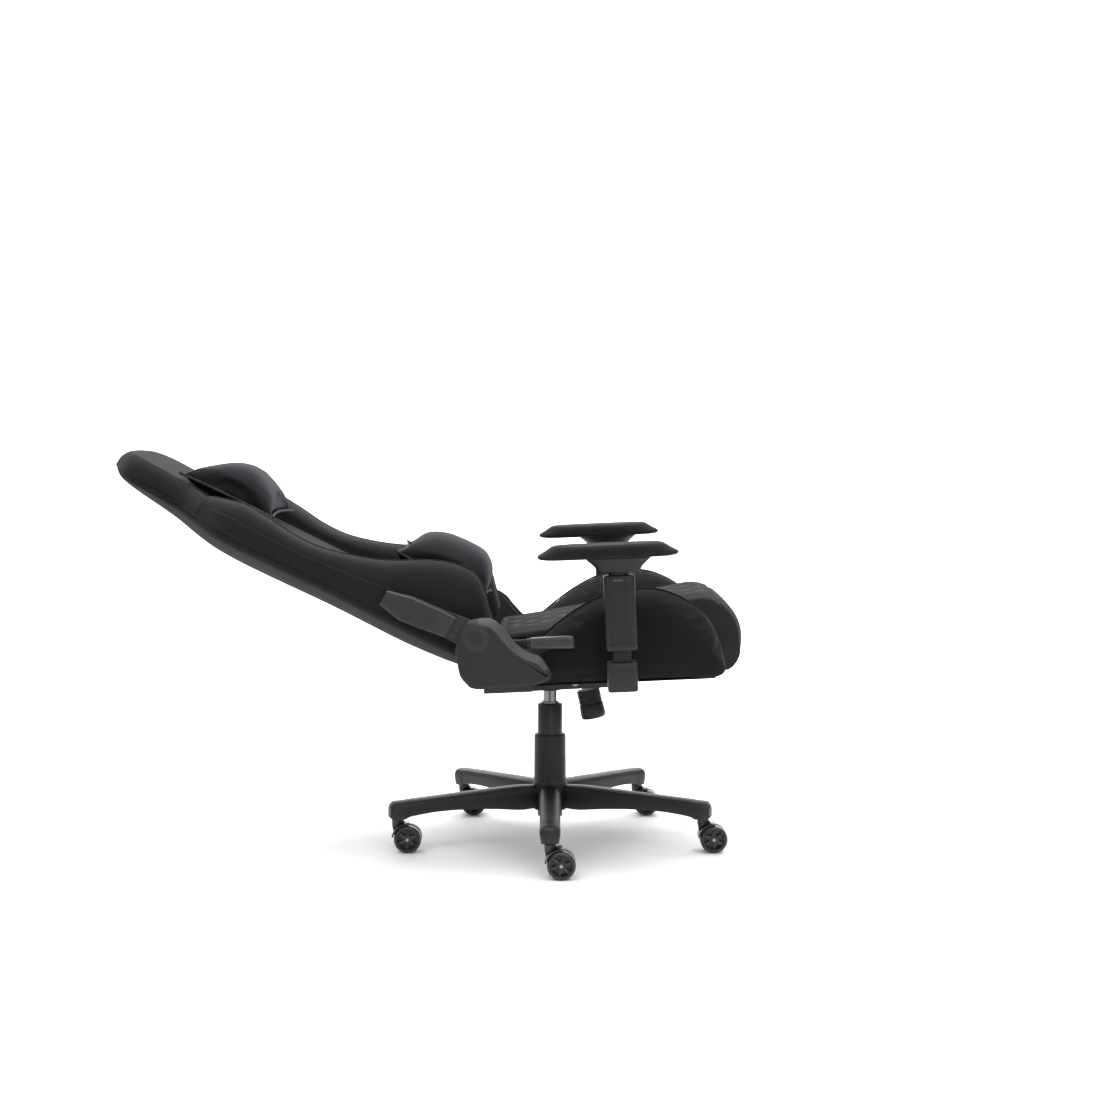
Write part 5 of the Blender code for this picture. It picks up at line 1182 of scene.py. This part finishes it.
# ------------------------------------------------------------------------------------------------
# Back wings. Foam side supports in plain dark cloth, deep at the hips and shallow at the
# shoulders, each sewn from an inner panel, a facing and a side panel with a welt on the crest.
wing_low = -0.0290
for name, side in (("right", -1), ("left", 1)):
    rings = []
    crest = []
    fold = []
    stations = np.concatenate([wing_low + 0.03 * np.linspace(0, 1, 10, endpoint=False) ** 2,
                               np.linspace(0.0012, neck - 0.0312, 130),
                               neck - 0.0006 - 0.03 * np.linspace(1, 0, 10) ** 2])
    for share in stations:
        end = min(share - wing_low, (neck - share) * 1.6) * back_length
        draw = 1 - math.sqrt(min(1.0, max(end, 0.0) / 0.020))
        half = max(back_half(share), 0.192 + 0.0165) - 0.0008 - 0.006 * draw * (share < 0.3)
        low = frame_line(share) + cloth_to_frame
        skirt_low = frame_line(share) - cloth_to_frame + 0.0006
        ridge = max(table_value(wing_table, share), low + 0.010)
        ridge -= draw * (ridge - low) * (0.25 if share < 0.3 else 0.05)
        rise = ridge - low
        inner = middle_half + 0.0006
        span = half - inner
        skirt_in = 0.192 + 0.0109
        ring = closed_curve(
            [(inner, low + 0.0002), (inner, low + 0.30 * rise), (inner + 0.02 * span, low + 0.62 * rise),
             (inner + 0.12 * span, low + 0.86 * rise),
             (inner + 0.28 * span, low + 0.97 * rise), (inner + 0.46 * span, ridge),
             (inner + 0.68 * span, low + 0.975 * rise),
             (inner + 0.86 * span, low + 0.84 * rise), (inner + 0.96 * span, low + 0.58 * rise),
             (half, low + 0.30 * rise),
             (half, low + 0.06 * rise), (half - 0.0010, (low + skirt_low) / 2), (half - 0.0020, skirt_low),
             ((half + skirt_in) / 2, skirt_low), (skirt_in, skirt_low + 0.0002),
             (skirt_in, (low + skirt_low) / 2),
             (skirt_in, low - 0.0002), ((inner + skirt_in) / 2, low + 0.0001)],
            108,
        )
        rings.append([(v, side * y, share * back_length) for y, v in ring])
        crest.append((ring[33][1] + 0.0003, side * ring[33][0], share * back_length))
        fold.append((ring[54][1], side * (ring[54][0] + 0.0002), share * back_length))
    wing = piece(f"wing_{name}", skin(rings), wing_cloth, "plain_fabric", "backrest", f"back_wing_{name}",
                 at=back_place, smooth=180)
    piece(f"wing_welt_{name}", cord_tube(crest[6:-6], 0.0016), plain_cloth, "plain_fabric", "backrest",
          at=back_place, smooth=180)
    piece(f"wing_side_stitches_{name}", stitch_runs([fold[8:-8]]), thread_cloth, "plain_fabric", "backrest",
          at=back_place, smooth=60)
finish_part(powder_coat, "back_frame")

# ------------------------------------------------------------------------------------------------
# Lumbar and head pillows. Fibre-filled bags of blue-grey velour with pointed corners, a piped seam
# all round and a zip at the back, so they swell in the middle and pucker along the seam.
def velour_cloth(name, colour):
    """Short pile: soft light at grazing angles, crushed patches and a fine fibre bump."""
    made = cloth(name, colour, thread=0.0006, fleck=0.25, sheen=0.16, pattern=0.22, rough=0.72)
    nodes, links = made.node_tree.nodes, made.node_tree.links
    shader = nodes["Principled BSDF"]
    shader.inputs["Sheen Roughness"].default_value = 0.32
    shader.inputs["Sheen Tint"].default_value = (0.55, 0.60, 0.72, 1)
    crushed = nodes.new("ShaderNodeTexNoise")
    crushed.inputs["Scale"].default_value = 16
    crushed.inputs["Detail"].default_value = 6
    crushed.inputs["Distortion"].default_value = 1.4
    place = nodes.new("ShaderNodeTexCoord")
    links.new(place.outputs["Object"], crushed.inputs["Vector"])
    patch = nodes.new("ShaderNodeMapRange")
    patch.inputs["From Min"].default_value = 0.35
    patch.inputs["From Max"].default_value = 0.68
    patch.inputs["To Min"].default_value = 0.72
    patch.inputs["To Max"].default_value = 1.35
    links.new(crushed.outputs["Fac"], patch.inputs["Value"])
    scaled = nodes.new("ShaderNodeVectorMath")
    scaled.operation = "SCALE"
    links.new(shader.inputs["Base Color"].links[0].from_socket, scaled.inputs[0])
    links.new(patch.outputs["Result"], scaled.inputs["Scale"])
    links.new(scaled.outputs["Vector"], shader.inputs["Base Color"])
    return made


velour = velour_cloth("blue grey velour", (0.0030, 0.0031, 0.0042))
piping_velour = velour_cloth("velour piping", (0.0200, 0.0205, 0.0245))


def pillow_forms(half_y, low, high, seam, front_table, rear_face, points_out):
    """Rings of a pillow across the chair, and its seam line, from a side view of its front face."""
    rings, seam_path = [], []
    middle, half_z = (low + high) / 2, (high - low) / 2
    steps = np.sin(np.linspace(-1, 1, 71) * math.pi / 2)
    angles = np.linspace(-1, 1, 41)
    front_z = [p[0] for p in front_table]
    for a in steps:
        pull = points_out * (1 - a * a) ** 0.8
        fat = max(0.0, 1 - abs(a) ** 3.2) ** 0.62
        ring = []
        rear_row = []
        for b in np.sin(angles * math.pi / 2):
            waist = points_out * (1 - b * b) ** 0.8
            y = a * (half_y - waist)
            z = middle + b * (half_z - pull)
            full = float(np.interp(middle + b * half_z, front_z, [p[1] for p in front_table]))
            seam_v = seam(middle + b * half_z)
            swell = (full - seam_v) * fat
            ring.append((seam_v + max(swell, 0.0), y, z))
            back_fall = (seam_v - rear_face(middle + b * half_z)) * fat * max(0.0, 1 - abs(b) ** 3.0) ** 0.5
            rear_row.append((seam_v - max(back_fall, 0.0) - 0.0004, y, z))
        rings.append(ring + rear_row[::-1][1:-1])
        seam_path.append((ring[0], ring[-1]))
    return rings, seam_path


def build_pillow(name, node, half_y, low, high, seam, front_table, rear_face, points_out, cap):
    """Pillow bag, its piping and its fold lines at the corners."""
    rings, _ = pillow_forms(half_y, low, high, seam, front_table, rear_face, points_out)
    bag = inflated(skin(rings), 0.0050, 4.5, cap)
    bag_piece = piece(name, bag, velour, "velour", "backrest", node, at=back_place, smooth=180)
    middle, half_z = (low + high) / 2, (high - low) / 2
    path = []
    for t in np.linspace(0, 4, 240, endpoint=False):
        edge, s = int(t), 2 * (t - int(t)) - 1
        a, b = ((s, -1), (1, s), (-s, 1), (-1, -s))[edge]
        pull_z, pull_y = points_out * (1 - a * a) ** 0.8, points_out * (1 - b * b) ** 0.8
        path.append((seam(middle + b * half_z), a * (half_y - pull_y + 0.0006),
                     middle + b * (half_z - pull_z + 0.0006)))
    piece(f"{name}_piping", cord_tube(path, 0.0026, 10, closed=True), piping_velour, "velour", "backrest",
          at=back_place, smooth=180)


lumbar_front = [(0.012, 0.052), (0.020, 0.080), (0.030, 0.1000), (0.042, 0.1130), (0.056, 0.1215),
                (0.075, 0.1235),
                (0.110, 0.1215), (0.144, 0.1172), (0.168, 0.1085), (0.186, 0.0965), (0.200, 0.0820),
                (0.214, 0.0560)]
build_pillow("lumbar_bag", "lumbar_pillow", 0.1515, 0.012, 0.214,
             lambda z: 0.050 + 0.06 * (z - 0.012) / 0.202 * 0.1,
             lumbar_front, lambda z: 0.0205, 0.010, 0.0080)
head_front = [(0.452, 0.0020), (0.462, 0.0120), (0.478, 0.0235), (0.500, 0.0345), (0.527, 0.0435),
              (0.552, 0.0440),
              (0.580, 0.0375), (0.602, 0.0260), (0.622, 0.0120), (0.640, -0.0010), (0.650, -0.0090)]
build_pillow("head_bag", "head_pillow", 0.1400, 0.452, 0.650, lambda z: -0.0035 - 0.055 * (z - 0.452),
             head_front, lambda z: -0.0200, 0.012, 0.0080)

# ------------------------------------------------------------------------------------------------
# Head strap. Dark woven elastic runs behind the head pillow from wing to wing and is sewn into the
# seams beside the quilted middle, with a moulded slide on each side to adjust it.
webbing = cloth("woven webbing", (0.030, 0.031, 0.034), thread=0.0016, fleck=0.3, sheen=0.15, pattern=0.8,
                rough=0.7)


strap_from, strap_to = 0.5370, 0.5640
strap_reach = 0.1555


def strap_line(y):
    """Distance of the strap ahead of the pivot's line: flat behind the pillow, dipping into the seams."""
    ahead = table_value(centre_table, (strap_from + strap_to) / 2 / back_length) + 0.0016
    return ahead + 0.0030 * float(smooth_step(0.118, 0.140, abs(y))) - 0.0150 * float(smooth_step(0.143,
            strap_reach, abs(y)))


rings = []
for y in np.linspace(-strap_reach, strap_reach, 120):
    v = strap_line(y)
    rings.append([(v - 0.0006, y, strap_from), (v, y, strap_from - 0.0003), (v + 0.0006, y, strap_from),
                  (v + 0.0006, y, strap_from + 0.0016),
                  (v + 0.0009, y, (strap_from + strap_to) / 2), (v + 0.0006, y, strap_to - 0.0016),
                  (v + 0.0006, y, strap_to),
                  (v, y, strap_to + 0.0003), (v - 0.0006, y, strap_to)])
piece("neck_strap", skin(rings), webbing, "webbing", "backrest", "head_strap", at=back_place, smooth=60)
for side in (-1, 1):
    slide = rounded(bar((-0.0016, -0.0100, -0.0175), (0.0016, 0.0100, 0.0175)), 0.0010)
    windows = [bar((-0.01, -0.0072, -0.0142), (0.01, -0.0014, 0.0142)),
               bar((-0.01, 0.0014, -0.0142), (0.01, 0.0072, 0.0142))]
    slide = boolean(slide, windows, "DIFFERENCE")
    y = side * 0.1475
    piece(f"strap_slide_{'left' if side > 0 else 'right'}", slide, grip_grey, "lever_grey", "backrest",
          at=back_place @ shift(strap_line(y) + 0.0028, y, (strap_from + strap_to) / 2), smooth=35)

# ------------------------------------------------------------------------------------------------
# Armrests. Each stands on a painted steel strip and a moulded foot; a sleeve slides on the post and
# locks with a push button, and a cradle under a soft polyurethane pad turns and slides on top.
pad_foam = moulded("soft polyurethane", (0.0026, 0.0026, 0.0029), 0.86, grain=0.0009, depth=0.55)
arm_forward, arm_across = 0.0866, 0.3255
post_foot, post_foot_top = 0.0185, 0.0730
sleeve_low, sleeve_top = 0.0955, 0.2335


def rounded_slab(centre_x, centre_y, half_x, half_y, z, power=5.0, sides=96):
    """Level ring with soft square corners."""
    ring = []
    for k in range(sides):
        a = 2 * math.pi * k / sides
        c, s = math.cos(a), math.sin(a)
        ring.append((centre_x + half_x * math.copysign(abs(c) ** (2 / power), c),
                     centre_y + half_y * math.copysign(abs(s) ** (2 / power), s), z))
    return ring


for name, side in (("right", -1), ("left", 1)):
    across = side * arm_across
    foot_in, foot_out = 0.3019, 0.3463
    foot_y, foot_half = side * (foot_in + foot_out) / 2, (foot_out - foot_in) / 2
    foot_rings = []
    for z, trim in ((post_foot, 0.0030), (post_foot + 0.0008, 0.0012), (post_foot + 0.0030, 0.0),
                    (post_foot_top - 0.0040, 0.0),
                    (post_foot_top - 0.0012, 0.0010), (post_foot_top, 0.0034)):
        foot_rings.append(rounded_slab(arm_forward - 0.001, foot_y, 0.0278 - trim, foot_half - trim, z, 9.0))
    block = skin(foot_rings)
    post_rings = [rounded_slab(arm_forward, across, 0.0168 - trim, 0.0118 - trim, z, 8.0)
                  for z, trim in ((post_foot_top - 0.010, 0), (0.1985, 0), (0.1998, 0.0010))]
    post = skin(post_rings)
    piece(f"arm_post_{name}", boolean(block, [post], "UNION"), nylon, "black_nylon", "seat",
          f"arm_inner_post_{name}", at=seat_place, smooth=35)

    lift_body = next(b for b in frame["bodies"] if b.startswith("arm_sleeve") and name in b)
    sleeve_rings = []
    for z, trim in ((sleeve_low, 0.0016), (sleeve_low + 0.0006, 0.0006), (sleeve_low + 0.0022, 0.0),
                    (sleeve_low + 0.0100, 0.0),
                    (sleeve_low + 0.0108, 0.0008), (sleeve_low + 0.0120, 0.0008), (sleeve_low + 0.0128, 0.0),
                    (sleeve_top - 0.0200, 0.0), (sleeve_top - 0.0024, 0.0002), (sleeve_top - 0.0008, 0.0010),
                    (sleeve_top, 0.0028)):
        sleeve_rings.append(rounded_slab(arm_forward, across, 0.0290 - trim, 0.0210 - trim, z, 5.5))
    shell = skin(sleeve_rings)
    hollow = bar((arm_forward - 0.0175, across - 0.0125, sleeve_low - 0.01),
                 (arm_forward + 0.0175, across + 0.0125, sleeve_top - 0.006))
    face = across + side * 0.0210
    mid_z = sleeve_top - 0.0080
    slot_box = bar((arm_forward - 0.0135, min(face - side * 0.005, face + side * 0.01), mid_z - 0.0030),
                   (arm_forward + 0.0075, max(face - side * 0.005, face + side * 0.01), mid_z + 0.0030))
    shell = boolean(shell, [hollow, slot_box], "DIFFERENCE")
    piece(f"sleeve_{name}", shell, nylon, "black_nylon", lift_body, f"arm_sleeve_{name}", at=seat_place,
          smooth=35)
    low_y, high_y = sorted((face - side * 0.0028, face + side * 0.0014))
    button = rounded(bar((arm_forward - 0.0128, low_y, mid_z - 0.0024),
                         (arm_forward + 0.0068, high_y, mid_z + 0.0024)), 0.0009)
    piece(f"height_button_{name}", button, grip_grey, "lever_grey", f"arm_button_{name}",
          f"arm_button_{name}", at=seat_place, smooth=50)

    base_z = sleeve_top + 0.0004
    cradle_rings = []
    for rise, half_long, half_wide, power in (
        (0.0, 0.0194, 0.0179, 2.0), (0.0008, 0.0200, 0.0185, 2.0), (0.0062, 0.0200, 0.0185, 2.0),
        (0.0066, 0.0250, 0.0200, 2.3),
        (0.0068, 0.0385, 0.0222, 3.0), (0.0076, 0.0396, 0.0229, 3.0), (0.0110, 0.0412, 0.0246, 3.1),
        (0.0160, 0.0442, 0.0272, 3.2),
        (0.0220, 0.0505, 0.0312, 3.3), (0.0275, 0.0566, 0.0350, 3.5), (0.0305, 0.0596, 0.0368, 3.6),
        (0.0318, 0.0598, 0.0368, 3.6),
        (0.0325, 0.0588, 0.0358, 3.6),
    ):
        cradle_rings.append(rounded_slab(arm_forward, across, half_long, half_wide, base_z + rise, power))
    piece(f"cradle_{name}", skin(cradle_rings), nylon, "black_nylon", f"arm_cradle_{name}",
          f"arm_cradle_{name}", at=seat_place, smooth=35)

    pad_z = base_z + 0.0329
    pad_rings = []
    for rise, trim_x, trim_y, ahead in (
        (0.0000, 0.0120, 0.0080, 0.0), (0.0015, 0.0040, 0.0030, 0.0), (0.0040, 0.0, 0.0, 0.0),
        (0.0075, 0.0, 0.0, 0.0),
        (0.0095, 0.0030, 0.0004, 0.0), (0.0125, 0.0090, 0.0010, 0.0), (0.0165, 0.0155, 0.0018, 0.0),
        (0.0205, 0.0215, 0.0032, 0.0),
        (0.0235, 0.0265, 0.0060, 0.0), (0.0250, 0.0320, 0.0110, 0.0), (0.0250, 0.0480, 0.0220, 0.0),
        (0.0246, 0.0700, 0.0320, 0.0), (0.0243, 0.0950, 0.0400, 0.0),
    ):
        pad_rings.append(rounded_slab(arm_forward - 0.0187 + ahead, across, 0.1293 - trim_x, 0.0490 - trim_y,
                                      pad_z + rise, 3.8))
    pad = piece(f"arm_cushion_{name}", skin(pad_rings), pad_foam, "pad_polyurethane", f"arm_pad_{name}",
                f"arm_pad_{name}", at=seat_place, smooth=60)

# ------------------------------------------------------------------------------------------------
# Studio. A pale sweep under and behind the chair, large soft lamps from above and the front, two
# dark cards for the shiny parts to mirror, and a camera square to the chair's right side that looks
# slightly down.
sweep_points = [(-7.0, 0.0), (2.6, 0.0)]
sweep_points += [(2.6 + 1.6 * math.sin(math.radians(a)), 1.6 - 1.6 * math.cos(math.radians(a)))
                 for a in range(6, 91, 6)]
sweep_points += [(4.2, 6.0)]
bm = bmesh.new()
rows = [[bm.verts.new((x, y, z - 0.0002)) for y, z in sweep_points] for x in (-9.0, 9.0)]
for i in range(len(sweep_points) - 1):
    bm.faces.new((rows[0][i], rows[1][i], rows[1][i + 1], rows[0][i + 1]))
sweep_mesh = bpy.data.meshes.new("sweep")
bm.to_mesh(sweep_mesh)
bm.free()
sweep_mesh.shade_smooth()
sweep = bpy.data.objects.new("studio_sweep", sweep_mesh)
bpy.context.scene.collection.objects.link(sweep)
paper = bpy.data.materials.new("pale studio paper")
paper.use_nodes = True
paper_shader = paper.node_tree.nodes["Principled BSDF"]
paper_shader.inputs["Base Color"].default_value = (0.86, 0.86, 0.86, 1)
paper_shader.inputs["Roughness"].default_value = 0.75
sweep_mesh.materials.append(paper)

world = bpy.data.worlds.new("studio")
bpy.context.scene.world = world
world.use_nodes = True
world.node_tree.nodes["Background"].inputs["Color"].default_value = (1, 1, 1, 1)
world.node_tree.nodes["Background"].inputs["Strength"].default_value = 0.50


def soft_lamp(name, spot, aim, size, power):
    lamp = bpy.data.lights.new(name, "AREA")
    lamp.shape = "RECTANGLE"
    lamp.size, lamp.size_y = size
    lamp.energy = power
    stand = bpy.data.objects.new(name, lamp)
    bpy.context.scene.collection.objects.link(stand)
    stand.location = spot
    stand.rotation_euler = (Vector(aim) - Vector(spot)).to_track_quat("-Z", "Y").to_euler()


card_mesh = bpy.data.meshes.new("card")
card_mesh.from_pydata([(-0.9, -5.2, 0.0), (1.1, -5.2, 0.0), (1.1, -5.2, 1.5), (-0.9, -5.2, 1.5)], [],
                      [(0, 1, 2, 3)])
card = bpy.data.objects.new("dark_card", card_mesh)
bpy.context.scene.collection.objects.link(card)
card_paper = bpy.data.materials.new("black card")
card_paper.use_nodes = True
card_paper.node_tree.nodes["Principled BSDF"].inputs["Base Color"].default_value = (0.01, 0.01, 0.01, 1)
card_mesh.materials.append(card_paper)
card.visible_camera = False
floor_card_mesh = bpy.data.meshes.new("floor_card")
floor_card_mesh.from_pydata([(-0.25, -4.6, 0.002), (0.60, -4.6, 0.002), (0.60, -1.6, 0.002),
                             (-0.25, -1.6, 0.002)], [], [(0, 1, 2, 3)])
floor_card_mesh.materials.append(card_paper)
floor_card = bpy.data.objects.new("floor_card", floor_card_mesh)
bpy.context.scene.collection.objects.link(floor_card)
floor_card.visible_camera = floor_card.visible_diffuse = floor_card.visible_shadow = False
soft_lamp("top_lamp", (0.1, -0.3, 3.6), (0.1, 0.2, 0.0), (5.0, 4.5), 260)
soft_lamp("front_lamp", (1.4, -4.4, 2.2), (0.1, 0, 0.40), (2.4, 1.6), 45)
soft_lamp("sweep_lamp", (0.0, 1.6, 3.4), (0.0, 3.6, 1.2), (6.0, 1.5), 260)

view = bpy.data.cameras.new("view")
view.sensor_width = 36
view.lens = 1878 / 1100 * 36
camera = bpy.data.objects.new("view", view)
bpy.context.scene.collection.objects.link(camera)
camera.location = (0.239, -3.76, 0.853)
camera.rotation_euler = (math.radians(86), 0, 0)
bpy.context.scene.camera = camera
bpy.context.scene.view_settings.view_transform = "Standard"
